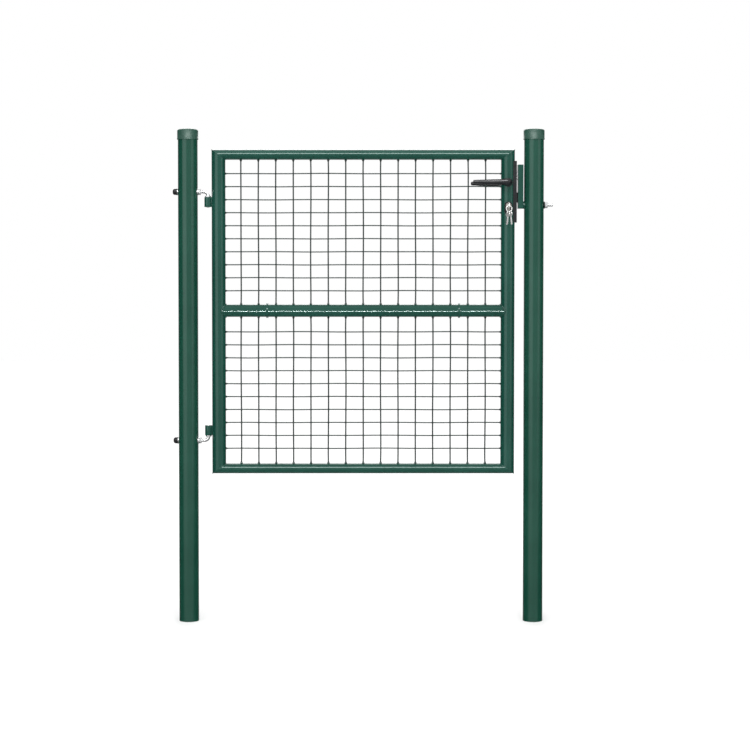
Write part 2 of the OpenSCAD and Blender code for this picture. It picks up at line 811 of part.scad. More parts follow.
// The oval rose round the cylinder's end, seated on the round stile.
module cylinder_rose(side) {
    span = lobe_drop - cylinder_rose_w / 2 + 3;
    color(black)
    difference() {
        mirror([0, side < 0 ? 0 : 1, 0]) translate([lock_x, 0, key_z]) {
            bar_y(-rose_y, 0, cylinder_rose_w / 2);
            block([-cylinder_rose_w / 2, -rose_y, -span], [cylinder_rose_w / 2, 0, 0]);
            translate([0, 0, -span]) bar_y(-rose_y, 0, cylinder_rose_w / 2);
        }
        upright(lock_x, key_z - 2 * spill, key_z + 2 * spill, stile_r + seat_gap);
        cylinder_profile(spill, seat_gap);
    }
}

// The round rose that a lever's neck turns in.
module handle_rose(side) {
    color(black)
    difference() {
        mirror([0, side < 0 ? 0 : 1, 0]) translate([lock_x, 0, spindle_z])
            bar_y(-rose_y, 0, handle_rose_d / 2);
        upright(lock_x, spindle_z - spill, spindle_z + spill, stile_r + seat_gap);
        translate([lock_x, 0, spindle_z]) bar_y(-spill, spill, neck_d / 2 + run_gap);
    }
}

// A lever: a neck in the rose, a head, and a tapered grip that reaches to -X.
module lever(side) {
    hole = spindle_w / 2 + seat_gap;
    head_y = grip_y + lever_head_l / 2;
    color(black)
    mirror([0, side < 0 ? 0 : 1, 0])
    translate([lock_x, 0, spindle_z])
    difference() {
        union() {
            bar_y(-grip_y, -stile_r - 1, neck_d / 2);
            bar_y(-head_y, -head_y + lever_head_l, lever_head_d / 2);
            translate([0, -grip_y, 0])
                bar_x(-lever_reach + grip_tip_d / 2, 0, grip_tip_d / 2, grip_d / 2);
            translate([-lever_reach + grip_tip_d / 2, -grip_y, 0]) sphere(d = grip_tip_d);
        }
        block([-hole, -grip_y + lever_head_l / 2, -hole], [hole, 0, hole]);
        translate([0, -grub_y(), 0]) rotate([180, 0, 0]) cylinder(h = spill, d = grub_d + 2 * run_gap);
    }
}

// Where a grub screw sits along the neck.
function grub_y() = grip_y - lever_head_l / 2 - 8;

module lever_grub_screws() {
    color(steel)
    for (s = [-1, 1])
        translate([lock_x, s * grub_y(), spindle_z - neck_d / 2])
            cylinder(h = (neck_d - spindle_w) / 2 - seat_gap, d = grub_d);
}

module handle_spindle() {
    reach = grip_y - lever_head_l / 2 - 1;
    half = spindle_w / 2;
    color(steel) translate([lock_x, 0, spindle_z])
        block([-half, -reach, -half], [half, reach, half]);
}

// The follower turns in the lock case and draws the latch with its arm.
module lock_follower() {
    hole = spindle_w / 2 + seat_gap;
    arm_half = bolt_t / 4 - 0.1;
    color(steel) translate([lock_x, 0, spindle_z])
    difference() {
        union() {
            bar_y(-case_w / 2, case_w / 2, neck_d / 2);
            block([-arm_w / 2, -arm_half, 0], [arm_w / 2, arm_half, arm_reach]);
        }
        block([-hole, -case_w, -hole], [hole, case_w, hole]);
    }
}

// The latch bolt: a bevelled nose, and a forked tail with a hook behind the follower's arm.
module latch_bolt() {
    half = bolt_t / 2;
    nose_x = face_x + latch_throw;
    hook_x = lock_x - arm_w / 2 - 0.6;
    fork_half = bolt_t / 4 + 0.3;
    nose_z = latch_z0 + latch_h;
    color(zinc)
    difference() {
        translate([0, 0, latch_z0]) linear_extrude(latch_h) polygon([
            [hook_x - hook_t, -half], [nose_x, -half], [nose_x, -half + 2],
            [nose_x - latch_throw, half], [hook_x - hook_t, half]
        ]);
        block([hook_x, -fork_half, latch_z0 - 1], [lock_x + 13, fork_half, nose_z + 1]);
    }
}

module deadbolt() {
    color(black)
        block([lock_x + deadbolt_inner, -bolt_t / 2, deadbolt_z0],
              [face_x + deadbolt_throw, bolt_t / 2, deadbolt_z0 + deadbolt_h]);
}

// ---- Keys ----

// The key in the lock: blade in the plug, neck, and a round bow that points forward.
module key() {
    bow_y = cylinder_half_l + key_neck_l + bow_d / 2 - 1;
    color(steel)
    translate([lock_x, 0, key_z])
    difference() {
        union() {
            block([-key_t / 2, -bow_y, -blade_h / 2], [key_t / 2, -cylinder_half_l + blade_l, blade_h / 2]);
            translate([0, -bow_y, 0]) bar_x(-key_t / 2, key_t / 2, bow_d / 2);
        }
        translate([0, -ring_y, 0]) bar_x(-spill, spill, bow_hole_d / 2);
    }
}

module key_ring() {
    color(zinc)
    translate([lock_x, -ring_y, ring_z]) rotate([90, 0, 0])
        rotate_extrude() translate([ring_d / 2, 0]) circle(d = ring_wire_d, $fn = 24);
}

// A spare key hung from its hole at the origin, flat across X.
module hung_key() {
    bow_drop = 5.5;
    tip = [[-blade_h / 2, -spare_l + 3], [0, -spare_l], [blade_h / 2, -spare_l + 3]];
    rotate([90, 0, 90]) translate([0, 0, -key_t / 2]) linear_extrude(key_t)
    difference() {
        union() {
            translate([0, -bow_drop]) circle(d = bow_d - 1);
            polygon(concat([[-blade_h / 2, -bow_drop]], tip, [[blade_h / 2, -bow_drop]]));
        }
        circle(d = bow_hole_d);
    }
}

// Hangs a spare key on the lower part of the ring, splayed to its side.
module spare_key(side) {
    x = side * spare_gap / 2;
    wire_z = ring_z - sqrt(pow(ring_d / 2, 2) - x * x);
    color(steel)
    translate([lock_x + x, -ring_y, wire_z - bow_hole_d / 2 + ring_wire_d / 2 + hang_gap])
        rotate([0, -side * spare_splay, 0]) rotate([0, 0, spare_turn]) hung_key();
}

post(0, [upper_hinge_z, lower_hinge_z]);  // hinge_post
post(post_spacing, [stud_z]);  // latch_post
post_cap(0);  // hinge_post_cap
post_cap(post_spacing);  // latch_post_cap
hinge_bolt(upper_hinge_z, -1);  // upper_hinge_bolt
hinge_bolt(lower_hinge_z, 1);  // lower_hinge_bolt
hinge_saddle(upper_hinge_z);  // upper_hinge_saddle
hinge_saddle(lower_hinge_z);  // lower_hinge_saddle
hinge_inner_nut(upper_hinge_z);  // upper_hinge_inner_nut
hinge_inner_nut(lower_hinge_z);  // lower_hinge_inner_nut
hinge_washer(upper_hinge_z);  // upper_hinge_washer
hinge_washer(lower_hinge_z);  // lower_hinge_washer
hinge_outer_nut(upper_hinge_z);  // upper_hinge_outer_nut
hinge_outer_nut(lower_hinge_z);  // lower_hinge_outer_nut
hinge_nut_cap(upper_hinge_z);  // upper_hinge_nut_cap
hinge_nut_cap(lower_hinge_z);  // lower_hinge_nut_cap
hinge_collar(upper_hinge_z, -1);  // upper_hinge_collar
hinge_collar(lower_hinge_z, 1);  // lower_hinge_collar
striker_box();
striker_stud();
striker_spacer();
striker_washer();
striker_nut();
hinge_stile();
lock_stile();
top_rail();
bottom_rail();
middle_rail();
mesh_panel(middle_z + middle_rail_d / 2, leaf_z1 - rail_h);  // upper_mesh_panel
mesh_panel(leaf_z + rail_h, middle_z - middle_rail_d / 2);  // lower_mesh_panel
hinge_sleeve(upper_hinge_z, -1);  // upper_hinge_sleeve
hinge_sleeve(lower_hinge_z, 1);  // lower_hinge_sleeve
rail_strap(-1);  // left_rail_strap
rail_strap(1);  // right_rail_strap
lock_case();
lock_faceplate();
faceplate_screws();
cylinder_body();
cylinder_screw();
cylinder_rose(-1);  // front_cylinder_rose
cylinder_rose(1);  // back_cylinder_rose
handle_rose(-1);  // front_handle_rose
handle_rose(1);  // back_handle_rose
lever(-1);  // front_lever
lever(1);  // back_lever
handle_spindle();
lock_follower();
lever_grub_screws();
latch_bolt();
deadbolt();
cylinder_plug(-1);  // front_cylinder_plug
cylinder_plug(1);  // back_cylinder_plug
cylinder_cam();
key();
key_ring();
spare_key(-1);  // spare_key_left
spare_key(1);  // spare_key_right
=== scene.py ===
"""A garden gate of green coated tube and welded wire between two round posts.

Every shape is worked out as whole numpy arrays: a profile turned round an axis, or an
outline carried along a path. Lengths are in millimetres until a mesh is made.
"""

import math

import bmesh
import bpy
import numpy as np
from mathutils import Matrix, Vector


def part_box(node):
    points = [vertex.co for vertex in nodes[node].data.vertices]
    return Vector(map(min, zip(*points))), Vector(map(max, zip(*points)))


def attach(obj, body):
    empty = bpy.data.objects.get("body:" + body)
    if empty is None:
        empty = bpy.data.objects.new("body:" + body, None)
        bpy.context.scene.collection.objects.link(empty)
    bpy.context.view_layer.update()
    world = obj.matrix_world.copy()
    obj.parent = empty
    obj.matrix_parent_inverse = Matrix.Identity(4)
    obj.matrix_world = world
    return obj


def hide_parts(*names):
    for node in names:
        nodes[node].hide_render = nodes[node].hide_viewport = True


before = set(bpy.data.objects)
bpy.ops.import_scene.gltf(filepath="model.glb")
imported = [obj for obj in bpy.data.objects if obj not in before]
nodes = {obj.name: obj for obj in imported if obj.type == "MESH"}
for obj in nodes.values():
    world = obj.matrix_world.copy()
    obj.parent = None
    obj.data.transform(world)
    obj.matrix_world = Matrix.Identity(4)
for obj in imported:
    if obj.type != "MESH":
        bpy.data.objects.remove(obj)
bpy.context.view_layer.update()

TURN = 2 * math.pi
X_AXIS = np.array([1.0, 0.0, 0.0])
Y_AXIS = np.array([0.0, 1.0, 0.0])
Z_AXIS = np.array([0.0, 0.0, 1.0])

MM = 0.001              # a millimetre in metres
CRISP = 40              # edges that turn by more degrees than this stay crisp

# Sizes that several pieces share, in millimetres.
POST_R = 30.0
STILE_R = 21.0
ROD_R = 5.0             # hinge bolts and striker stud
THREAD_PITCH = 1.5
LOCK_X = 971.0          # axis of the levers and of the cylinder
KEY_DROP = 70.0         # from the levers' axis down to the cylinder's
EYE_R = 3.2             # ring hole of a key
BOW_THICK = 2.0
BLADE_HALF = 3.8        # half the height of a key's blade
BLADE_THICK = 1.9
RING_R = 1.1            # half the thickness of the split ring's wire
RING_Y = -48.0
KEY_CUTS = [0.2, 1.6, 1.6, 0.6, 2.2, 2.2, 0.9, 1.3, 2.4, 2.4, 1.0, 0.4]


# ---- Places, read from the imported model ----

def low_high(node):
    """A node's lowest and highest corner, in millimetres."""
    low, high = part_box(node)
    return np.array(low) * 1000, np.array(high) * 1000


def middle(node):
    """The middle of a node's box, in millimetres."""
    low, high = low_high(node)
    return (low + high) / 2


# ---- Mesh making ----

def skin(points, looped=False):
    """Skin of a (rows, columns, 3) grid of points. Face (i, j) joins points (i, j), (i, j+1),
    (i+1, j+1) and (i+1, j). Columns close on themselves, and so do rows if looped. Otherwise
    each end gets a fan from the mean of its ring."""
    rows, columns = points.shape[:2]
    i = np.arange(rows if looped else rows - 1)[:, None]
    j = np.arange(columns)[None, :]
    i_next, j_next = (i + 1) % rows, (j + 1) % columns
    corners = [i * columns + j, i * columns + j_next, i_next * columns + j_next, i_next * columns + j]
    quads = np.stack(np.broadcast_arrays(*corners), -1).reshape(-1, 4)
    verts = points.reshape(-1, 3)
    if looped:
        return outward(verts, quads, np.zeros((0, 3), int))
    ends = np.stack([points[0].mean(0), points[-1].mean(0)])
    ring = np.arange(columns)
    ring_next = (ring + 1) % columns
    base = (rows - 1) * columns
    first = np.stack([np.full(columns, len(verts)), ring_next, ring], -1)
    last = np.stack([np.full(columns, len(verts) + 1), base + ring, base + ring_next], -1)
    return outward(np.concatenate([verts, ends]), quads, np.concatenate([first, last]))


def outward(verts, quads, tris):
    """Turns every face of a closed skin over if its signed volume, the sum of a.(b x c) / 6
    over its triangles, is negative."""
    halves = np.concatenate([quads[:, [0, 1, 2]], quads[:, [0, 2, 3]], tris])
    a, b, c = verts[halves[:, 0]], verts[halves[:, 1]], verts[halves[:, 2]]
    if np.einsum("ij,ij->", a - verts.mean(0), np.cross(b - a, c - a)) < 0:
        quads, tris = quads[:, ::-1], tris[:, ::-1]
    return verts, quads, tris


def repeated(part, offsets):
    """The same part at each of the offsets (count, 3)."""
    verts, quads, tris = part
    count, size = len(offsets), len(verts)
    step = (np.arange(count) * size)[:, None, None]
    return (
        (verts[None] + offsets[:, None]).reshape(-1, 3),
        (quads[None] + step).reshape(-1, 4),
        (tris[None] + step).reshape(-1, 3),
    )


def piece(name, parts, body, finish, stands_for=(), sharp=CRISP):
    """Makes one mesh object from parts in millimetres, which rides on a body."""
    size, verts, faces = 0, [], []
    for part_verts, quads, tris in parts:
        verts.append(part_verts)
        faces += (quads + size).tolist() + (tris + size).tolist()
        size += len(part_verts)
    mesh = bpy.data.meshes.new(name)
    mesh.from_pydata(np.concatenate(verts) * MM, [], faces)
    mesh.shade_smooth()
    mesh.set_sharp_from_angle(angle=math.radians(sharp))
    obj = bpy.data.objects.new(name, mesh)
    bpy.context.scene.collection.objects.link(obj)
    return settle(obj, body, finish, stands_for)


def settle(obj, body, finish, stands_for):
    """Gives a new object its finish in its one material slot and its body, and hides the nodes that it
    stands for.
    """
    obj.data.materials.clear()
    obj.data.materials.append(finish)
    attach(obj, body)
    if stands_for:
        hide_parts(*stands_for)
    return obj


def softened(name, node, body, finish, width):
    """A copy of a node whose loose triangles are merged, whose flat faces are joined and whose
    crisp edges are bevelled, width in millimetres."""
    same_point, level_faces, crisp = 1e-6, math.radians(0.6), math.radians(CRISP)
    mesh = nodes[node].data.copy()
    mesh.name = name
    shape = bmesh.new()
    shape.from_mesh(mesh)
    bmesh.ops.remove_doubles(shape, verts=shape.verts, dist=same_point)
    bmesh.ops.dissolve_limit(shape, angle_limit=level_faces, verts=shape.verts, edges=shape.edges)
    shape.to_mesh(mesh)
    shape.free()
    for layer in [a for a in mesh.attributes if a.name == "custom_normal"]:
        mesh.attributes.remove(layer)
    mesh.shade_smooth()
    mesh.set_sharp_from_angle(angle=crisp)
    obj = bpy.data.objects.new(name, mesh)
    bpy.context.scene.collection.objects.link(obj)
    bevel = obj.modifiers.new("edges", "BEVEL")
    bevel.width = width * MM
    bevel.segments = 2
    bevel.limit_method = "ANGLE"
    bevel.angle_limit = crisp
    bevel.use_clamp_overlap = True
    return settle(obj, body, finish, [node])


# ---- Shapes ----

def angles(count):
    """Count equal steps round a full turn."""
    return np.arange(count) * TURN / count


def paired(rows, columns):
    """Two (rows, columns) arrays from rows of two values, each of them one number or one to a
    column."""
    return [np.stack([np.broadcast_to(row[k], columns) for row in rows]) for k in (0, 1)]


def turned(heights, radii, origin, axis, columns=64, looped=False):
    """A profile turned round an axis: at height h along it the skin stands r(h) away. radii is
    one value to a row, or a (rows, columns) array for a skin that isn't round."""
    axis = np.asarray(axis, float)
    start = X_AXIS if abs(axis[0]) < 0.5 else Z_AXIS
    across = np.cross(axis, start)
    a = angles(columns)
    spoke = np.cos(a)[:, None] * start + np.sin(a)[:, None] * across
    radii = np.asarray(radii, float)
    radii = radii[:, None] if radii.ndim == 1 else radii
    points = np.asarray(origin, float) + np.asarray(heights, float)[:, None, None] * axis
    return skin(points + radii[..., None] * spoke[None], looped=looped)


def soft_profile(h0, h1, r, edge, steps=5):
    """Heights and radii of a drum from h0 to h1 whose two rims are quarter circles of radius
    edge."""
    q = np.linspace(0, math.pi / 2, steps)
    heights = np.concatenate([h0 + edge * (1 - np.cos(q)), h1 - edge * (1 - np.cos(q[::-1]))])
    radii = r - edge * (1 - np.sin(np.concatenate([q, q[::-1]])))
    return heights, radii


def soft_ring(h0, h1, r_in, r_out, edge, origin, axis, columns=64):
    """A drum with rounded rims and a straight bore, closed through the bore."""
    heights, radii = soft_profile(h0, h1, r_out, edge)
    heights = np.concatenate([[h0], heights, [h1]])
    radii = np.concatenate([[r_in], radii, [r_in]])
    return turned(heights, radii, origin, axis, columns, looped=True)


def outline(columns, width, height, power=2.0):
    """A closed super-oval: |x / width|^power + |y / height|^power = 1 by its half sizes."""
    a = angles(columns)
    c, s = np.cos(a), np.sin(a)
    x = np.sign(c) * np.abs(c) ** (2 / power) * width
    y = np.sign(s) * np.abs(s) ** (2 / power) * height
    return np.stack([x, y], -1)


def carried(outlines, path, side):
    """Outlines (rows, columns, 2) carried along a path (rows, 3). The first coordinate lies
    along side and the second along side x tangent."""
    path = np.asarray(path, float)
    tangent = np.gradient(path, axis=0)
    tangent /= np.linalg.norm(tangent, axis=1)[:, None]
    side = np.broadcast_to(np.asarray(side, float), path.shape)
    up = np.cross(side, tangent)
    outlines = np.asarray(outlines, float)
    return skin(path[:, None] + outlines[..., :1] * side[:, None] + outlines[..., 1:] * up[:, None])


def bead(path, away, radius, looped=True, ripple=0.12, pitch=2.6, columns=10):
    """A weld bead: a round section of the given radius carried along a path, whose size rises
    and falls as 1 + ripple sin(turn * length / pitch), with a whole number of waves on a loop.
    away points out of the joint at each point."""
    step = np.linalg.norm(np.diff(path, axis=0, append=path[:1] if looped else path[-1:]), axis=1)
    length = np.cumsum(step)
    if looped:
        tangent = np.roll(path, -1, 0) - np.roll(path, 1, 0)
        waves = max(1, round(length[-1] / pitch))
        wave = np.sin(length / length[-1] * waves * TURN)
    else:
        tangent = np.gradient(path, axis=0)
        wave = np.sin(length / pitch * TURN)
    tangent /= np.linalg.norm(tangent, axis=1)[:, None]
    side = np.cross(away, tangent)
    side /= np.linalg.norm(side, axis=1)[:, None]
    up = np.cross(tangent, side)
    size = (np.broadcast_to(radius, wave.shape) * (1 + ripple * wave))[:, None, None]
    a = angles(columns)[None, :, None]
    spoke = np.cos(a) * up[:, None] + np.sin(a) * side[:, None]
    return skin(path[:, None] + size * spoke, looped=looped)


def thread(height, angle, pitch, start, end):
    """Depth of a screw thread, from 0 on its crest to 1 in its root: a triangle wave in
    height / pitch - angle / turn, which fades out within a pitch of start and end."""
    phase = (height / pitch - angle / TURN) % 1
    wave = 1 - np.abs(2 * phase - 1)
    fade = np.clip((height - start) / pitch, 0, 1) * np.clip((end - height) / pitch, 0, 1)
    return wave * fade


def noise_field(x, z):
    """A slow wander of the wires, in millimetres: (sideways, through the gate). Each is a sum
    of two sines of x and z with waves of a few hundred millimetres."""
    sideways = 0.35 * np.sin(x / 71 + z / 93) + 0.3 * np.sin(x / 37 - z / 58 + 1.3)
    through = 0.3 * np.sin(x / 83 - z / 61 + 0.4) + 0.2 * np.sin(x / 45 + z / 39)
    return sideways, through


# ---- Finishes ----

def node(tree, kind, inputs=None, **settings):
    """Adds a node with its settings and input values."""
    made = tree.nodes.new(kind)
    for key, value in settings.items():
        setattr(made, key, value)
    for key, value in (inputs or {}).items():
        made.inputs[key].default_value = value
    return made


def new_finish(name, **values):
    """A material with a principled shader; returns (material, tree, shader, object coordinates)."""
    material = bpy.data.materials.new(name)
    material.use_nodes = True
    tree = material.node_tree
    shader = tree.nodes["Principled BSDF"]
    for key, value in values.items():
        shader.inputs[key.replace("_", " ")].default_value = value
    place = node(tree, "ShaderNodeTexCoord").outputs["Object"]
    return material, tree, shader, place


def mottled(tree, place, scale, detail, dark, light, target):
    """Feeds target with a noise that runs between two colours."""
    noise = node(tree, "ShaderNodeTexNoise", {"Scale": scale, "Detail": detail})
    ramp = node(tree, "ShaderNodeValToRGB")
    stops = ramp.color_ramp.elements
    for stop, at, colour in zip(stops, (0.35, 0.65), (dark, light)):
        stop.position = at
        stop.color = (*colour, 1)
    tree.links.new(place, noise.inputs["Vector"])
    tree.links.new(noise.outputs["Fac"], ramp.inputs["Fac"])
    tree.links.new(ramp.outputs["Color"], target)


def rough(tree, place, scale, low, high, shader):
    """Lets the roughness wander between low and high."""
    noise = node(tree, "ShaderNodeTexNoise", {"Scale": scale, "Detail": 3.0})
    span = {"From Min": 0.3, "From Max": 0.7, "To Min": low, "To Max": high}
    reach = node(tree, "ShaderNodeMapRange", span)
    tree.links.new(place, noise.inputs["Vector"])
    tree.links.new(noise.outputs["Fac"], reach.inputs["Value"])
    tree.links.new(reach.outputs["Result"], shader.inputs["Roughness"])


def bumps(tree, place, layers, shader):
    """Chains bump nodes; each layer is (scale, detail, strength, height in metres)."""
    last = None
    for scale, detail, strength, height in layers:
        noise = node(tree, "ShaderNodeTexNoise", {"Scale": scale, "Detail": detail})
        bump = node(tree, "ShaderNodeBump", {"Strength": strength, "Distance": height})
        tree.links.new(place, noise.inputs["Vector"])
        tree.links.new(noise.outputs["Fac"], bump.inputs["Height"])
        if last:
            tree.links.new(last.outputs["Normal"], bump.inputs["Normal"])
        last = bump
    tree.links.new(last.outputs["Normal"], shader.inputs["Normal"])


def green_coat(name, dark, light, low, high):
    """Powder coat on steel: a slow mottle, a slight orange peel and a thin clear gloss, whose
    gleams lean a little to green."""
    values = {"Specular_IOR_Level": 0.4, "Coat_Weight": 0.15, "Coat_Roughness": 0.10}
    material, tree, shader, place = new_finish(name, **values)
    shader.inputs["Specular Tint"].default_value = (0.80, 1.0, 0.96, 1.0)
    mottled(tree, place, 7.0, 4.0, dark, light, shader.inputs["Base Color"])
    rough(tree, place, 35.0, low, high, shader)
    wave = (9.0, 1.0, 0.04, 0.006)
    peel = (260.0, 1.0, 0.004, 0.0008)
    bumps(tree, place, [wave, peel], shader)
    return material


def cap_moulding():
    """Matt moulded plastic of the post caps, with a fine grain."""
    material, tree, shader, place = new_finish("cap_moulding", Specular_IOR_Level=0.35)
    dark, light = (0.013, 0.054, 0.038), (0.020, 0.068, 0.049)
    grain = (1500.0, 2.0, 0.12, 0.0004)
    mottled(tree, place, 45.0, 3.0, dark, light, shader.inputs["Base Color"])
    rough(tree, place, 300.0, 0.34, 0.46, shader)
    bumps(tree, place, [grain], shader)
    return material


def plated(name, dark, light, low, high, scale=60.0, metal=1.0):
    """Plated metal with a faint crystal mottle and fine scratches that run along X."""
    material, tree, shader, place = new_finish(name, Metallic=metal)
    mottled(tree, place, scale, 5.0, dark, light, shader.inputs["Base Color"])
    rough(tree, place, 160.0, low, high, shader)
    stretch = node(tree, "ShaderNodeMapping", {"Scale": (40.0, 900.0, 900.0)})
    scratches = node(tree, "ShaderNodeTexNoise", {"Scale": 1.0, "Detail": 3.0})
    bump = node(tree, "ShaderNodeBump", {"Strength": 0.12, "Distance": 0.0003})
    tree.links.new(place, stretch.inputs["Vector"])
    tree.links.new(stretch.outputs["Vector"], scratches.inputs["Vector"])
    tree.links.new(scratches.outputs["Fac"], bump.inputs["Height"])
    tree.links.new(bump.outputs["Normal"], shader.inputs["Normal"])
    return material


def black_moulding():
    """Black plastic of the nut caps and the washer, with a fine grain."""
    material, tree, shader, place = new_finish("black_moulding", Specular_IOR_Level=0.22)
    dark, light = (0.006, 0.006, 0.007), (0.012, 0.012, 0.014)
    grain = (1400.0, 2.0, 0.08, 0.0004)
    mottled(tree, place, 80.0, 3.0, dark, light, shader.inputs["Base Color"])
    rough(tree, place, 250.0, 0.18, 0.32, shader)
    bumps(tree, place, [grain], shader)
    return material


def black_coat():
    """Satin anthracite coat of the lock's outer pieces, with a fine grain."""
    values = {"Specular_IOR_Level": 0.35, "Coat_Weight": 0.3, "Coat_Roughness": 0.12}
    material, tree, shader, place = new_finish("black_coat", **values)
    dark, light = (0.005, 0.0055, 0.007), (0.010, 0.011, 0.013)
    grain = (1100.0, 2.0, 0.14, 0.0005)
    mottled(tree, place, 30.0, 4.0, dark, light, shader.inputs["Base Color"])
    rough(tree, place, 120.0, 0.16, 0.26, shader)
    bumps(tree, place, [grain], shader)
    return material


post_green = green_coat("post_green", (0.006, 0.047, 0.030), (0.009, 0.057, 0.037), 0.13, 0.18)
leaf_green = green_coat("leaf_green", (0.005, 0.046, 0.032), (0.008, 0.056, 0.040), 0.10, 0.15)
wire_green = green_coat("wire_green", (0.011, 0.017, 0.015), (0.018, 0.026, 0.023), 0.30, 0.42)
cap_green = cap_moulding()
bright_zinc = plated("bright_zinc", (0.70, 0.71, 0.72), (0.86, 0.87, 0.87), 0.20, 0.34)
key_plating = plated("key_plating", (0.80, 0.80, 0.79), (0.92, 0.92, 0.91), 0.26, 0.40, 90.0, 0.8)
lock_steel = plated("lock_steel", (0.42, 0.43, 0.44), (0.58, 0.58, 0.59), 0.30, 0.46)
cylinder_brass = plated("cylinder_plating", (0.26, 0.25, 0.23), (0.36, 0.35, 0.32), 0.26, 0.40)
black_plastic = black_moulding()
black_metal = black_coat()

FINISH_OF_SLOT = {
    "frame_paint": leaf_green, "cap_plastic": cap_green, "mesh_paint": wire_green, "zinc": bright_zinc,
    "black_plastic": black_plastic, "black_metal": black_metal, "cylinder_brass": cylinder_brass,
    "key_nickel": key_plating, "lock_steel": lock_steel,
}


def dress_nodes():
    """Gives every node that stays the finish of its slot; the posts have their own green."""
    for name, obj in nodes.items():
        for place in obj.material_slots:
            slot = place.material.name.split(".")[0] if place.material else "lock_steel"
            place.material = FINISH_OF_SLOT.get(slot, place.material)
    for name in ("hinge_post", "latch_post"):
        for place in nodes[name].material_slots:
            place.material = post_green


# ---- Posts ----

def post_cap(name):
    """A cap turned from one profile: a flared lip, a faintly tapering skirt, a round shoulder
    of a quarter circle and a low domed crown, with the skirt's inside as its inner row."""
    low, high = low_high(name)
    centre = (low + high) / 2
    r = (high[0] - low[0]) / 2
    tall = high[2] - low[2]
    wall, shoulder, crown = 2.0, 5.0, 3.0
    skirt_r = r - 0.45
    crown_z = tall - crown
    q = np.linspace(0, math.pi / 2, 10)
    dome = np.linspace(0, 1, 9)[1:-1]
    heights = np.concatenate([
        [tall - 5.0, 0.0, 0.0, 0.4, 3.2, 3.8, crown_z - shoulder],
        crown_z - shoulder + shoulder * np.sin(q[1:]),
        crown_z + crown * (1 - (1 - dome) ** 2),
        [tall],
    ])
    radii = np.concatenate([
        [r - wall, r - wall, r - 0.5, r, r, skirt_r, skirt_r],
        skirt_r - shoulder * (1 - np.cos(q[1:])),
        (skirt_r - shoulder) * (1 - dome),
        [0.3],
    ])
    part = turned(heights, radii, (centre[0], centre[1], low[2]), Z_AXIS, 96)
    piece(name.replace("_post", "") + "_top", [part], "posts", cap_green, [name])


# ---- Hinges ----

def hinge_bolt(level, side):
    """The bent hinge bolt: a round section carried along the post's bore, a quarter circle and
    the pin, with a screw thread cut over the straight part that shows."""
    name = level + "_hinge_bolt"
    low, high = low_high(name)
    bend, around, pin_rows = 12.0, 40, 24
    thread_end, thread_deep, chamfer = 46.5, 0.85, 1.0
    pin_x = high[0] - ROD_R
    z = high[2] - ROD_R if side < 0 else low[2] + ROD_R
    far_z = low[2] if side < 0 else high[2]
    reach = abs(far_z - z)
    in_post = np.linspace(low[0], POST_R, 90)
    straight = np.concatenate([in_post, np.linspace(POST_R + 0.25, pin_x - bend, 80)])
    q = np.linspace(0, math.pi / 2, 22)[1:]
    rise = np.linspace(bend + 1, reach - 1, pin_rows)
    x = np.concatenate([straight, pin_x - bend + bend * np.sin(q), np.full(pin_rows + 1, pin_x)])
    up = np.concatenate([np.zeros(len(straight)), bend * (1 - np.cos(q)), rise, [reach]])
    path = np.stack([x, np.zeros_like(x), z + side * up], -1)
    a = angles(around)
    depth = thread(x[:, None], a[None], THREAD_PITCH, low[0] + 0.5, thread_end) * thread_deep
    depth[len(straight):] = 0
    size = np.full((len(x), 1), ROD_R)
    size[[0, -1]] = ROD_R - chamfer
    circle = np.stack([np.cos(a), np.sin(a)], -1)[None] * (size - depth)[..., None]
    part = carried(circle, path, Y_AXIS)
    piece(level + "_bent_bolt", [part], "posts", bright_zinc, [name], 50)


def hinge_saddle(level):
    """The conical saddle: its foot follows the round post, x = sqrt(R^2 - y^2), and its wall
    runs as a cone to a rounded flat end with a bore. The foot's radius is found by a few rounds
    of r = foot_r - (x - foot_x) * taper."""
    name = level + "_hinge_saddle"
    low, high = low_high(name)
    z = (low[2] + high[2]) / 2
    end_x = high[0]
    columns = 72
    a = angles(columns)
    seat_r, foot_r, bore_r = POST_R + 0.1, 12.0, 5.25
    foot_x, taper = 26.0, 0.375

    def seat(r):
        """How far out the post's wall lies, r away from the bolt's axis."""
        return np.sqrt(seat_r ** 2 - (r * np.cos(a)) ** 2)

    foot = np.full(columns, foot_r)
    for _ in range(4):
        foot = foot_r - (seat(foot) - foot_x) * taper
    rows_r, rows_x = paired([
        (bore_r, seat(bore_r)), (foot - 0.5, seat(foot - 0.5)), (foot, seat(foot) + 0.25),
        (foot * 0.985, seat(foot) + 0.7), (9.55, end_x - 0.9), (9.2, end_x - 0.3), (8.6, end_x),
        (5.8, end_x), (bore_r, end_x - 0.5),
    ], columns)
    points = np.stack([rows_x, rows_r * np.cos(a), z + rows_r * np.sin(a)], -1)
    piece(level + "_saddle", [skin(points, looped=True)], "posts", bright_zinc, [name])


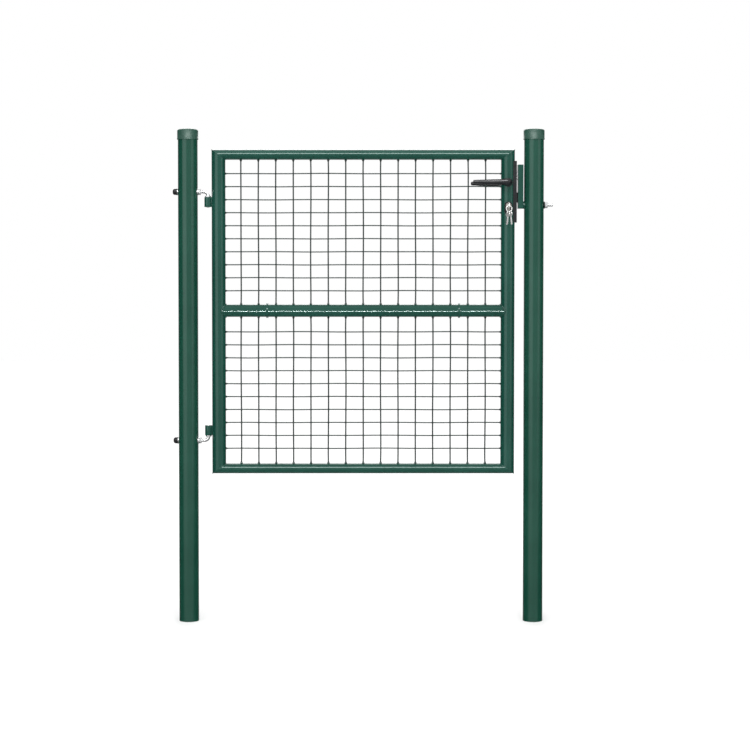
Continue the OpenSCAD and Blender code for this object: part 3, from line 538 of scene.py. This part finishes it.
def hex_nut(name, new_name):
    """A hex nut along X: its wall is the lesser of the hexagon, flat / cos(angle), and of a
    30 degree cone at each face, closed through the bore."""
    low, high = low_high(name)
    centre = (low + high) / 2
    thick = high[0] - low[0]
    columns, bore_r, mouth_r, mouth, cone_rise = 96, 5.1, 5.9, 0.7, 1.75
    flat = min(high[1] - low[1], high[2] - low[2]) / 2
    upright = high[2] - low[2] > high[1] - low[1]
    sector = (angles(columns) + (0 if upright else math.pi / 6)) % (math.pi / 3)
    corner = flat / np.cos(math.pi / 6 - sector)
    rise = np.array([0.0, 0.25, 0.5, 0.8, 1.15, 1.5, 2.0])
    rise = rise[rise < thick / 2]
    heights = np.concatenate([rise, thick - rise[::-1]])
    cone = flat - 0.15 + np.minimum(heights, thick - heights) * cone_rise
    wall = np.minimum(corner[None], cone[:, None])
    bore = np.full((1, columns), bore_r)
    edge = np.full((1, columns), mouth_r)
    radii = np.concatenate([bore, edge, wall, edge, bore])
    heights = np.concatenate([[mouth, 0.0], heights, [thick, thick - mouth]])
    part = turned(heights, radii, (low[0], centre[1], centre[2]), X_AXIS, columns, looped=True)
    piece(new_name, [part], "posts", bright_zinc, [name], 32)


def nut_cap(level):
    """The push-on nut cap: a domed drum with a rim and a shallow step, whose wall draws in a
    little between the six corners inside, by r * pinch * swell * (1 - cos 6a) / 2."""
    name = level + "_hinge_nut_cap"
    low, high = low_high(name)
    centre = (low + high) / 2
    columns, dome, pinch = 96, 6.5, 0.035
    a = angles(columns)
    r = (high[2] - low[2]) / 2
    wall_r = r - 1.2
    length = high[0] - low[0]
    q = np.linspace(0, math.pi / 2, 12)[1:]
    rim = [2.4, 0.0, 0.0, 0.3, 1.4, 1.8]
    heights = np.concatenate([rim, [length - dome], length - dome + dome * np.sin(q)])
    dome_r = wall_r * np.cos(q) ** 0.75
    dome_r[-1] = 0.2
    radii = np.concatenate([[r - 1.0, r - 1.0, r - 0.3, r, r, r - 0.9, wall_r], dome_r])
    swell = np.concatenate([np.zeros(5), [0.6, 1.0], np.cos(q) ** 2])
    radii = radii[:, None] * (1 + pinch * swell[:, None] * (np.cos(6 * a)[None] - 1) / 2)
    part = turned(heights, radii, (high[0], centre[1], centre[2]), -X_AXIS, columns)
    piece(level + "_dome_cap", [part], "posts", black_plastic, [name])


def ring_along(name, new_name, axis, bore, edge, finish):
    """A washer or collar with rounded rims, from a node's box."""
    low, high = low_high(name)
    centre = (low + high) / 2
    k = 0 if axis is X_AXIS else 2
    r = (high[1] - low[1]) / 2
    origin = centre.copy()
    origin[k] = low[k]
    part = soft_ring(0.0, high[k] - low[k], bore, r, edge, origin, axis)
    piece(new_name, [part], "posts", finish, [name])


def hinge_sleeve(level):
    """The sleeve: a drum with rounded rims and a bore, a web plate back to the stile, and a
    weld bead down each side of the web at both of its ends."""
    name = level + "_hinge_sleeve"
    low, high = low_high(name)
    drum_r, bore_r, rim, half_web = 11.0, 5.08, 0.8, 5.0
    axis_x = low[0] + drum_r
    tall = high[2] - low[2]
    drum = soft_ring(0.0, tall, bore_r, drum_r, rim, (axis_x, 0, low[2]), Z_AXIS, 72)
    levels = low[2] + np.array([0.0, 0.5, tall - 0.5, tall])
    shrink = np.array([0.5, 0.0, 0.0, 0.5])
    near = axis_x + 8.0
    far = middle("hinge_stile")[0] - math.sqrt(STILE_R ** 2 - half_web ** 2)
    corners = np.array([[near, -half_web], [far, -half_web], [far, half_web], [near, half_web]])
    rows = np.zeros((4, 4, 3))
    rows[..., :2] = corners[None]
    rows[..., 1] -= np.sign(corners[None, :, 1]) * shrink[:, None]
    rows[..., 2] = levels[:, None]
    parts = [drum, skin(rows)]
    z = np.linspace(low[2] + 1.2, high[2] - 1.2, 90)
    ends = np.clip(np.minimum(z - low[2], high[2] - z) / 2.5, 0.35, 1)
    drum_x = axis_x + math.sqrt(drum_r ** 2 - half_web ** 2)
    for s in (-1, 1):
        for x, lean, size in ((far + 0.3, -0.4, 1.5), (drum_x - 0.2, 0.4, 1.2)):
            path = np.stack([np.full_like(z, x), np.full_like(z, s * half_web), z], -1)
            away = np.tile([lean, float(s), 0.0], (len(z), 1))
            parts.append(bead(path, away, size * ends, looped=False, ripple=0.07))
    piece(level + "_sleeve", parts, "gate_leaf", leaf_green, [name])


# ---- Leaf frame ----

def corner_welds():
    """A bead round each mitre. The seam is the loop x = x0 +- R cos t, y = R sin t,
    z = z0 +- H cos t, from the inner corner, where the bead is thicker, to the outer one."""
    stiles = [("hinge_stile", 1), ("lock_stile", -1)]
    rails = [("top_rail", -1), ("bottom_rail", 1)]
    bead_r, corner_r, proud = 1.5, 2.7, 0.55
    t = angles(200)
    beads = []
    for stile, sx in stiles:
        low, high = low_high(stile)
        x0, half = (low[0] + high[0]) / 2, (high[0] - low[0]) / 2
        for rail, sz in rails:
            low, high = low_high(rail)
            z0, rise = (low[2] + high[2]) / 2, (high[2] - low[2]) / 2
            x, z = x0 + sx * half * np.cos(t), z0 + sz * rise * np.cos(t)
            loop = np.stack([x, half * np.sin(t), z], -1)
            away = np.stack([sx * rise * np.cos(t), half * np.sin(t), sz * half * np.cos(t)], -1)
            away /= np.linalg.norm(away, axis=1)[:, None]
            size = bead_r + corner_r * ((1 + np.cos(t)) / 2) ** 12
            sunk = loop - away * (size - proud)[:, None]
            beads.append(bead(sunk, away, size, ripple=0.10))
    piece("corner_weld_beads", beads, "gate_leaf", leaf_green)


def rail_welds():
    """A bead round each coped end of the middle rail. The seam lies where the rail's cylinder
    meets the stile's: y = r sin t, z = z0 + r cos t, x = x0 + sqrt(R^2 - y^2)."""
    low, high = low_high("middle_rail")
    z0, r = (low[2] + high[2]) / 2, (high[2] - low[2]) / 2
    bead_r = 2.3
    t = angles(220)
    beads = []
    for stile, s in (("hinge_stile", 1), ("lock_stile", -1)):
        low, high = low_high(stile)
        x0, big = (low[0] + high[0]) / 2, (high[0] - low[0]) / 2
        y = r * np.sin(t)
        x = x0 + s * (np.sqrt(big ** 2 - y ** 2) + 0.6)
        loop = np.stack([x, y * 1.02, z0 + (r + 0.3) * np.cos(t)], -1)
        away = np.stack([s * np.ones_like(t), np.sin(t), np.cos(t)], -1)
        beads.append(bead(loop, away, bead_r, ripple=0.10, pitch=3.0))
    piece("middle_rail_weld_beads", beads, "gate_leaf", leaf_green)


# ---- Wire panels ----

def wire_row(low, high, pitch):
    """Places of a row of wires, centred between low and high, with three quarters of a pitch
    or more left free at each end."""
    count = math.floor((high - low) / pitch - 0.5)
    return (low + high) / 2 + (np.arange(count) - (count - 1) / 2) * pitch


def wires(starts, ends, radius, along, steps):
    """Round wires from starts to ends (count, 3), one skin to a wire. A wire's middle is its
    line plus the slow wander, which eases in from nothing over the first and last stretch."""
    stretches = 14
    s = np.linspace(0, 1, steps)[None, :, None]
    line = starts[:, None] * (1 - s) + ends[:, None] * s
    sideways, through = noise_field(line[..., 0], line[..., 2])
    ease = np.clip(np.minimum(s, 1 - s)[..., 0] * stretches, 0, 1)
    other = X_AXIS if along is Z_AXIS else Z_AXIS
    line = line + (sideways * ease)[..., None] * other + (through * ease)[..., None] * Y_AXIS
    a = angles(12)
    ring = radius * (np.cos(a)[:, None] * other + np.sin(a)[:, None] * Y_AXIS)
    points = line[:, :, None] + ring[None, None]
    return [skin(grid) for grid in points]


def wire_panel(name, new_name):
    """One wire panel: uprights in front, cross wires behind, a fused bead where two wires
    cross, and a flared weld where a wire runs into the frame."""
    upright_r, cross_r, apart = 2.12, 1.78, 1.65
    low, high = low_high(name)
    left, right = low_high("hinge_stile")[1][0], low_high("lock_stile")[0][0]
    columns = wire_row(left, right, 53.0)
    rows = wire_row(low[2], high[2], 39.5)
    up_low = np.stack([columns, np.full(len(columns), -apart), np.full(len(columns), low[2])], -1)
    up_high = up_low + [0, 0, high[2] - low[2]]
    cross_low = np.stack([np.full(len(rows), left), np.full(len(rows), apart), rows], -1)
    cross_high = cross_low + [right - left, 0, 0]
    parts = wires(up_low, up_high, upright_r, Z_AXIS, 48)
    parts += wires(cross_low, cross_high, cross_r, X_AXIS, 80)
    flare_h = np.array([0.0, 0.8, 1.8, 3.0, 4.4, 6.0, 6.6])
    flare_r = np.array([4.3, 4.0, 3.4, 2.85, 2.45, 2.2, 1.9])
    for ends, sign in ((up_low, 1), (up_high, -1)):
        one = turned(flare_h * sign, flare_r, (0, 0, 0), Z_AXIS, 16)
        parts.append(repeated(one, ends + [0, 0, sign * 0.4]))
    for ends, sign in ((cross_low, 1), (cross_high, -1)):
        one = turned(flare_h * sign, flare_r * 0.86, (0, 0, 0), X_AXIS, 16)
        parts.append(repeated(one, ends - [sign * 0.5, 0, 0]))
    grid_x, grid_z = np.meshgrid(columns, rows)
    sideways, through = noise_field(grid_x, grid_z)
    spots = np.stack([grid_x + sideways, through, grid_z + sideways], -1).reshape(-1, 3)
    knob_h = np.array([-1.9, -1.4, 0.0, 1.4, 1.9])
    knob_r = np.array([1.3, 2.2, 2.6, 2.1, 1.2])
    parts.append(repeated(turned(knob_h, knob_r, (0, 0, 0), Y_AXIS, 10), spots))
    piece(new_name, parts, "gate_leaf", wire_green, [name], 60)


def rail_strap(name, new_name):
    """A strap bent round the middle rail: a slightly oval band with rounded edges, and a pair of
    pinched ears above and below."""
    low, high = low_high(name)
    centre = (low + high) / 2
    half_w = (high[0] - low[0]) / 2
    a = angles(120)
    inner = 19.1
    outer = 20.1 + 0.25 * np.cos(2 * a)
    across = np.array([-half_w, -half_w, 0.3 - half_w, half_w - 0.3, half_w, half_w])
    share = np.array([0.0, 0.7, 1.0, 1.0, 0.7, 0.0])
    section_r = inner + share[None] * (outer - inner)[:, None]
    points = np.stack([
        np.broadcast_to(centre[0] + across[None], section_r.shape),
        centre[1] + section_r * np.sin(a)[:, None],
        centre[2] + section_r * np.cos(a)[:, None],
    ], -1)
    parts = [skin(points, looped=True)]
    top = (high[2] - low[2]) / 2
    ear_h = np.array([18.8, 20.5, top - 1.2, top - 0.3, top])
    ear_out = np.array([1.4, 1.5, 2.0, 2.2, 2.3])
    ear_size = np.array([1.25, 1.1, 0.95, 0.8, 0.4])
    oval = outline(20, 1.1, 2.0, 3.0)[None] * ear_size[:, None, None]
    for sz in (-1, 1):
        for sx in (-1, 1):
            path = np.stack([centre[0] + sx * ear_out, np.zeros(5), centre[2] + sz * ear_h], -1)
            parts.append(carried(oval[..., ::-1], path, Y_AXIS))
    piece(new_name, parts, "gate_leaf", leaf_green, [name])


# ---- Striker ----

def striker_stud():
    """The stud through the latch post: a weld head, a shank, and a thread cut along the end
    that stands out past the nut."""
    low, high = low_high("striker_stud")
    z = (low[2] + high[2]) / 2
    long = high[0] - low[0]
    around, thread_deep, chamfer = 40, 0.9, 1.0
    head_h, head_r = soft_profile(0.0, 2.5, 8.0, 0.5, 4)
    shank = np.linspace(2.7, long - 30, 12)
    tail = np.linspace(long - 29.5, long - 1.0, 200)
    heights = np.concatenate([head_h, shank, tail, [long]])
    r = np.concatenate([head_r, np.full(len(shank) + len(tail), ROD_R), [ROD_R - chamfer]])
    a = angles(around)
    depth = thread(heights[:, None], a[None], THREAD_PITCH, long - 29, long - 0.6) * thread_deep
    depth[: len(head_h) + len(shank)] = 0
    part = turned(heights, r[:, None] - depth, (low[0], 0, z), X_AXIS, around)
    piece("threaded_stud", [part], "posts", bright_zinc, ["striker_stud"], 50)


# ---- Lock ----

def socket_head(r, drive):
    """Rows of a countersunk screw head with a six-sided socket: floor, wall and rim, then the
    cone below. Heights run down from the head's face."""
    columns, deep = 48, 1.7
    six = drive / np.cos(angles(columns) % (math.pi / 3) - math.pi / 6)
    heights, radii = paired([
        (deep, 0.2), (deep, six * 0.98), (0.12, six), (0.0, six + 0.15), (0.0, r - 0.15),
        (0.12, r), (r * 0.52, r * 0.5), (r * 0.52 + 1.5, r * 0.5),
    ], columns)
    return heights[:, 0], radii


def face_screws(name, new_name):
    """Countersunk screws in the faceplate, their heads flush with it: two where the node is
    tall, or one in its middle."""
    low, high = low_high(name)
    face = high[0]
    head_r, drive, shank_r = 4.0, 1.6, 2.0
    levels = [low[2] + head_r, high[2] - head_r]
    if high[2] - low[2] < 20:
        levels = [(low[2] + high[2]) / 2]
    heights, radii = socket_head(head_r, drive)
    parts = [turned(heights, radii, (face, 0, z), -X_AXIS, 48) for z in levels]
    shank = [2.0, face - low[0]]
    parts += [turned(shank, [shank_r, shank_r], (face, 0, z), -X_AXIS, 24) for z in levels]
    piece(new_name, parts, "gate_leaf", lock_steel, [name])


def lever(side_name, side):
    """A lever: a round neck, a head that swells and turns through a quarter bend, and an oval
    grip carried to -X that swells a little below its middle and closes in a rounded tip."""
    name = side_name + "_lever"
    head_z = middle("front_handle_rose")[2]
    reach = LOCK_X - low_high(name)[0][0]
    grip_y, bend, tip_run, tip_half = 60.0, 9.0, 5.6, 6.0
    head_h, head_w = 10.4, 9.0
    neck = np.array([21.5, 26.0, 30.0, 36.0, 42.0, 47.0])
    neck_r = np.array([8.0, 8.0, 8.0, 8.0, 8.4, 9.0])
    q = np.linspace(0, math.pi / 2, 14)
    run = np.linspace(bend + 3, reach - tip_run, 40)
    tip = np.linspace(0.0, 1.0, 9)[1:]
    first = len(neck) + len(q)
    grip = slice(first, first + len(run))
    ease = slice(first, first + 6)
    tip_x = reach - tip_run + tip_run * np.sin(tip * math.pi / 2)
    x = np.concatenate([np.zeros(len(neck)), bend * (1 - np.cos(q)), run, tip_x])
    turn_y = grip_y - bend + bend * np.sin(q)
    y = np.concatenate([neck, turn_y, np.full(len(run) + len(tip), grip_y)])
    s = np.clip((x - bend) / (reach - bend), 0, 1)
    belly = np.sin(np.clip(s * 1.15, 0, 1) * math.pi) ** 1.5
    tip_r = np.full(len(tip), tip_half)
    grip_h = 8.4 + 0.9 * belly[grip] - 2.4 * s[grip]
    grip_w = 8.0 - 2.0 * s[grip]
    half_h = np.concatenate([neck_r, np.linspace(9.4, head_h, len(q)), grip_h, tip_r])
    half_w = np.concatenate([neck_r, np.linspace(9.2, head_w, len(q)), grip_w, tip_r])
    blend = np.linspace(0, 1, 8)[1:-1]
    half_h[ease] = head_h + (half_h[ease.stop] - head_h) * blend
    half_w[ease] = head_w + (half_w[ease.stop] - head_w) * blend
    close = np.ones(len(x))
    close[grip.stop:] = np.sqrt(np.clip(1 - tip ** 2, 0.0, 1))
    close[-1] = 0.06
    drop = np.zeros(len(x))
    drop[grip] = -0.6 * belly[grip]
    path = np.stack([LOCK_X - x, side * y, head_z + drop], -1)
    oval = outline(48, 1.0, 1.0, 2.3)[None]
    sizes = np.stack([half_h * close, half_w * close], -1)[:, None]
    part = carried(oval * sizes, path, Z_AXIS)
    collar = soft_ring(0.0, 2.2, 8.0, 9.6, 0.6, (LOCK_X, side * 26.4, head_z), side * Y_AXIS)
    piece(side_name + "_handle_lever", [part, collar], "handle", black_metal, [name])


def cylinder_plugs():
    """The plug at each end of the cylinder, with its key slot."""
    for side_name in ("front", "back"):
        plug = side_name + "_plug"
        softened(plug, side_name + "_cylinder_plug", plug, cylinder_brass, 0.25)


# ---- Keys ----

def key_bow(centre, r, hole):
    """A key's bow in the plane of the first two coordinates: from the hole's edge, found along
    each ray from the hole, out to the round rim and back on the other face, with soft rims. The
    rim's distance t along a ray solves |hole + t ray - centre| = r."""
    columns, edge = 72, 0.35
    a = angles(columns)
    ray = np.stack([np.cos(a), np.sin(a)], -1)
    gap = np.asarray(hole, float) - centre
    along = ray @ gap
    rim = -along + np.sqrt(along ** 2 - gap @ gap + r * r)
    half = BOW_THICK / 2
    rows_r, depth = paired([
        (EYE_R, half - edge), (EYE_R + edge, half), (rim - edge, half), (rim, half - edge),
        (rim, edge - half), (rim - edge, -half), (EYE_R + edge, -half), (EYE_R, edge - half),
    ], columns)
    return np.asarray(hole, float) + rows_r[..., None] * ray[None], depth


def key_blade(start, length, teeth):
    """A key's blade: its lower edge is straight, its upper edge follows the cuts, and a groove
    runs along each face. Returns flat places (rows, 10, 2) and depths."""
    rows = 61
    s = np.linspace(0, 1, rows)
    cuts = np.interp(s * length, np.linspace(0, length, len(teeth)), teeth)
    top = BLADE_HALF - cuts
    top[-5:] = np.linspace(top[-5], -BLADE_HALF * 0.2, 5)
    low = np.full(rows, -BLADE_HALF)
    low[-3:] = np.linspace(-BLADE_HALF, -BLADE_HALF * 0.4, 3)
    half = BLADE_THICK / 2
    groove, full = half * 0.45, 0.95
    share = np.array([0.0, 0.0, 0.3, 0.42, 0.58, full, full, 0.58, 0.42, 0.3])
    depth = np.array([-half, half, half, groove, half, half, -half, -half, -groove, -half])
    across = low[:, None] + (top - low)[:, None] * share[None] / full
    flat = np.stack([np.broadcast_to(start + s[:, None] * length, across.shape), across], -1)
    return flat, np.broadcast_to(depth[None], across.shape)


def lock_key():
    """The key in the lock: its bow in the plane x = middle, its hole forward, its neck and
    blade reaching into the plug."""
    low, high = low_high("key")
    x, z = (low[0] + high[0]) / 2, middle("front_handle_rose")[2] - KEY_DROP
    bow_r, hole_off, neck = 10.0, 5.0, 8.5
    bow_y = low[1] + bow_r
    flat, depth = key_bow((bow_y, 0.0), bow_r, (bow_y - hole_off, 0.0))
    bow = skin(np.stack([x + depth, flat[..., 0], z + flat[..., 1]], -1), looped=True)
    flat, depth = key_blade(bow_y + neck, high[1] - bow_y - neck, [0] * 5 + KEY_CUTS)
    blade = skin(np.stack([x + depth, flat[..., 0], z + flat[..., 1]], -1))
    piece("lock_key", [bow, blade], "lock_key", key_plating, ["key"])


def spare_key(side_name, side):
    """A spare key on the ring: made flat round its hole, turned about Z, leant out by its splay,
    and hung with its hole's edge on the ring's wire."""
    name = "spare_key_" + side_name
    wire_z = low_high("key_ring")[0][2] + RING_R + 0.75
    pivot = np.array([LOCK_X + side * 3.0, RING_Y, wire_z - (EYE_R - RING_R)])
    flat, depth = key_bow((-5.5, 0.0), 9.5, (0.0, 0.0))
    bow = skin(np.stack([depth, flat[..., 1], flat[..., 0]], -1), looped=True)
    teeth = [0] * 3 + KEY_CUTS
    flat, depth = key_blade(13.0, 25.0, teeth if side > 0 else teeth[::-1])
    blade = skin(np.stack([depth, flat[..., 1], -flat[..., 0]], -1))
    turn, lean = math.radians(30), math.radians(-side * 6)
    c, s = math.cos(turn), math.sin(turn)
    about_z = np.array([[c, -s, 0], [s, c, 0], [0, 0, 1]])
    c, s = math.cos(lean), math.sin(lean)
    about_y = np.array([[c, 0, s], [0, 1, 0], [-s, 0, c]])
    spin = about_y @ about_z
    parts = [(verts @ spin.T + pivot, quads, tris) for verts, quads, tris in (bow, blade)]
    new_name = "spare_key_on_ring_" + side_name
    piece(new_name, parts, "key_bunch", key_plating, [name])


def split_ring():
    """The split ring: a wire wound twice round, x = R cos t, z = R sin t, whose coils lie side
    by side and cross over in a short step, y = apart tanh(5 t)."""
    low, high = low_high("key_ring")
    centre = (low + high) / 2
    rows, start, apart = 260, 0.3, 0.55
    big = (high[0] - low[0]) / 2 - RING_R
    t = np.linspace(start, start + 2 * TURN, rows)
    step = np.tanh((t - t[rows // 2]) * 5.0) * apart
    path = np.stack([centre[0] + big * np.cos(t), centre[1] + step, centre[2] + big * np.sin(t)], -1)
    oval = outline(12, 0.53, 1.0, 2.6)
    part = carried(np.broadcast_to(oval[None], (rows, 12, 2)), path, Y_AXIS)
    piece("split_ring", [part], "key_bunch", key_plating, ["key_ring"])


# ---- Assembly ----

dress_nodes()
for cap in ("hinge_post_cap", "latch_post_cap"):
    post_cap(cap)
for level, side in (("upper", -1), ("lower", 1)):
    hinge_bolt(level, side)
    hinge_saddle(level)
    hex_nut(level + "_hinge_inner_nut", level + "_saddle_nut")
    hex_nut(level + "_hinge_outer_nut", level + "_end_nut")
    ring_along(level + "_hinge_washer", level + "_washer", X_AXIS, 5.25, 0.4, bright_zinc)
    ring_along(level + "_hinge_collar", level + "_pin_collar", Z_AXIS, 5.08, 0.6, bright_zinc)
    nut_cap(level)
    hinge_sleeve(level)
corner_welds()
rail_welds()
wire_panel("upper_mesh_panel", "upper_wire_panel")
wire_panel("lower_mesh_panel", "lower_wire_panel")
rail_strap("left_rail_strap", "left_strap")
rail_strap("right_rail_strap", "right_strap")
softened("striker_case", "striker_box", "posts", leaf_green, 0.9)
softened("stud_spacer", "striker_spacer", "posts", leaf_green, 0.5)
ring_along("striker_washer", "black_washer", X_AXIS, 5.25, 0.7, black_plastic)
hex_nut("striker_nut", "stud_nut")
striker_stud()
softened("faceplate", "lock_faceplate", "gate_leaf", black_metal, 0.6)
face_screws("faceplate_screws", "plate_screws")
face_screws("cylinder_screw", "fixing_screw")
for at in ("front", "back"):
    softened(at + "_round_rose", at + "_handle_rose", "gate_leaf", black_metal, 1.0)
    softened(at + "_key_rose", at + "_cylinder_rose", "gate_leaf", black_metal, 0.9)
lever("front", -1)
lever("back", 1)
softened("latch_tongue", "latch_bolt", "latch", bright_zinc, 0.5)
softened("thrown_bolt", "deadbolt", "bolt", black_metal, 0.6)
softened("profile_cylinder", "cylinder_body", "gate_leaf", cylinder_brass, 0.3)
cylinder_plugs()
lock_key()
spare_key("left", -1)
spare_key("right", 1)
split_ring()


# ---- Floor, light and camera ----

def studio():
    """A pale floor with painted light: it glows, more the farther it lies from the gate, so that it
    fades to white far off; soft lamps in front, above and behind, and gleams that only show as
    reflections."""
    mesh = bpy.data.meshes.new("floor")
    half = 14.0
    corners = [(-half, -half, 0), (half, -half, 0), (half, half, 0), (-half, half, 0)]
    mesh.from_pydata(corners, [], [(0, 1, 2, 3)])
    floor = bpy.data.objects.new("floor", mesh)
    bpy.context.scene.collection.objects.link(floor)
    material, tree, shader, place = new_finish("pale_floor", Roughness=0.9, Specular_IOR_Level=0.1)
    dark, light = (0.84, 0.84, 0.84), (0.87, 0.87, 0.87)
    mottled(tree, place, 3.0, 2.0, dark, light, shader.inputs["Base Color"])
    # painted light: the floor's emission rises with distance from the gate, a glow standing in for
    # studio light
    shader.inputs["Emission Color"].default_value = (1.0, 1.0, 1.0, 1.0)
    away = node(tree, "ShaderNodeVectorMath", operation="LENGTH")
    span = {"From Min": 1.2, "From Max": 4.5, "To Min": 0.0, "To Max": 0.36}
    painted_glow = node(tree, "ShaderNodeMapRange", span)
    tree.links.new(place, away.inputs[0])
    tree.links.new(away.outputs["Value"], painted_glow.inputs["Value"])
    tree.links.new(painted_glow.outputs["Result"], shader.inputs["Emission Strength"])
    mesh.materials.append(material)
    floor.visible_glossy = False
    lamp("front_soft", (0.5, -3.6, 2.9), (0.5, 0, 0.9), 3.2, 1.1, 66).visible_glossy = False
    lamp("top_soft", (0.5, -0.4, 3.8), (0.5, 0, 0.7), 4.0, 2.4, 55).visible_glossy = False
    lamp("back_soft", (0.5, 3.2, 2.6), (0.5, 0, 0.8), 3.2, 1.0, 40)
    wide = lamp("top_gleam", (0.5, -2.6, 2.9), (0.5, 0, 0.95), 3.4, 1.1, 125)
    wide.visible_diffuse = False
    falls_on(wide, ["middle_rail"], "EXCLUDE")
    narrow = lamp("level_gleam", (0.53, -2.4, 0.50), (0.53, 0, 0.95), 1.5, 0.05, 52)
    narrow.visible_diffuse = False
    falls_on(narrow, ["middle_rail"], "INCLUDE")


def falls_on(obj, names, state):
    """Limits a lamp to the named nodes, or keeps it off them."""
    group = bpy.data.collections.new(obj.name + "_nodes")
    for name in names:
        group.objects.link(nodes[name])
    obj.light_linking.receiver_collection = group
    for entry in group.collection_objects:
        entry.light_linking.link_state = state


def lamp(name, place, aim, width, height, power):
    """An area lamp that faces its aim and isn't seen itself; returns it."""
    data = bpy.data.lights.new(name, "AREA")
    data.shape = "RECTANGLE"
    data.size, data.size_y, data.energy = width, height, power
    obj = bpy.data.objects.new(name, data)
    bpy.context.scene.collection.objects.link(obj)
    obj.location = place
    obj.rotation_euler = (Vector(place) - Vector(aim)).to_track_quat("Z", "Y").to_euler()
    obj.visible_camera = False
    return obj


def band(tree, value, start, end, soft):
    """A soft-edged box: 1 where value lies between start and end, 0 outside."""
    up = node(tree, "ShaderNodeMapRange", {"From Min": start - soft, "From Max": start + soft})
    down = node(tree, "ShaderNodeMapRange", {"From Min": end + soft, "From Max": end - soft})
    both = node(tree, "ShaderNodeMath", operation="MULTIPLY")
    tree.links.new(value, up.inputs["Value"])
    tree.links.new(value, down.inputs["Value"])
    tree.links.new(up.outputs["Result"], both.inputs[0])
    tree.links.new(down.outputs["Result"], both.inputs[1])
    return both.outputs["Value"]


def glow(tree, parts, strength, so_far):
    """Adds a light to the sum so far: its strength times the product of its parts."""
    light = parts[0]
    for part in parts[1:]:
        both = node(tree, "ShaderNodeMath", operation="MULTIPLY")
        tree.links.new(light, both.inputs[0])
        tree.links.new(part, both.inputs[1])
        light = both.outputs["Value"]
    total = node(tree, "ShaderNodeMath", operation="MULTIPLY_ADD")
    total.inputs[1].default_value = strength
    tree.links.new(light, total.inputs[0])
    if so_far:
        tree.links.new(so_far, total.inputs[2])
    else:
        total.inputs[2].default_value = 0.0
    return total.outputs["Value"]


def sky():
    """White to the eye. For light and reflections: dim at the horizon and bright overhead, with
    a tall soft box to the left and one to the right in front, a weaker front between them, a
    box behind and a faint light from below. Each box is a product of bands of direction."""
    world = bpy.data.worlds.new("sky")
    world.use_nodes = True
    tree = world.node_tree
    ground = tree.nodes["Background"]
    ground.inputs["Strength"].default_value = 1.0
    place = node(tree, "ShaderNodeTexCoord").outputs["Generated"]
    split = node(tree, "ShaderNodeSeparateXYZ")
    tree.links.new(place, split.inputs["Vector"])
    across, deep, up = split.outputs["X"], split.outputs["Y"], split.outputs["Z"]
    front = band(tree, deep, -2.0, -0.05, 0.05)
    tall = band(tree, up, -0.10, 0.45, 0.08)
    low = band(tree, up, -0.50, 0.45, 0.10)
    overhead = band(tree, up, 0.45, 2.0, 0.35)
    below = band(tree, up, -2.0, -0.5, 0.12)
    left_box = band(tree, across, -0.88, -0.22, 0.03)
    right_box = band(tree, across, 0.72, 0.97, 0.03)
    between = band(tree, across, -0.80, 0.80, 0.10)
    behind = band(tree, deep, 0.78, 2.0, 0.08)
    light = glow(tree, [overhead], 0.9, None)
    light = glow(tree, [left_box, front, tall], 1.15, light)
    light = glow(tree, [right_box, front, tall], 1.0, light)
    light = glow(tree, [between, front, low], 0.62, light)
    light = glow(tree, [behind, low], 0.6, light)
    light = glow(tree, [below], 0.3, light)
    seen = node(tree, "ShaderNodeLightPath")
    mix = node(tree, "ShaderNodeMix", {"B": 1.0})
    tree.links.new(light, mix.inputs["A"])
    tree.links.new(seen.outputs["Is Camera Ray"], mix.inputs["Factor"])
    tree.links.new(mix.outputs["Result"], ground.inputs["Color"])
    bpy.context.scene.world = world


def camera():
    """Square on to the gate from above its middle, tipped down by two degrees."""
    data = bpy.data.cameras.new("camera")
    data.sensor_width = 36.0
    data.lens = 85.25
    data.shift_x, data.shift_y = 0.0175, -0.07
    obj = bpy.data.objects.new("camera", data)
    bpy.context.scene.collection.objects.link(obj)
    obj.location = (0.528, -5.40, 1.10)
    obj.rotation_euler = (math.radians(88), 0, 0)
    bpy.context.scene.camera = obj


studio()
sky()
camera()
bpy.context.scene.view_settings.view_transform = "Standard"
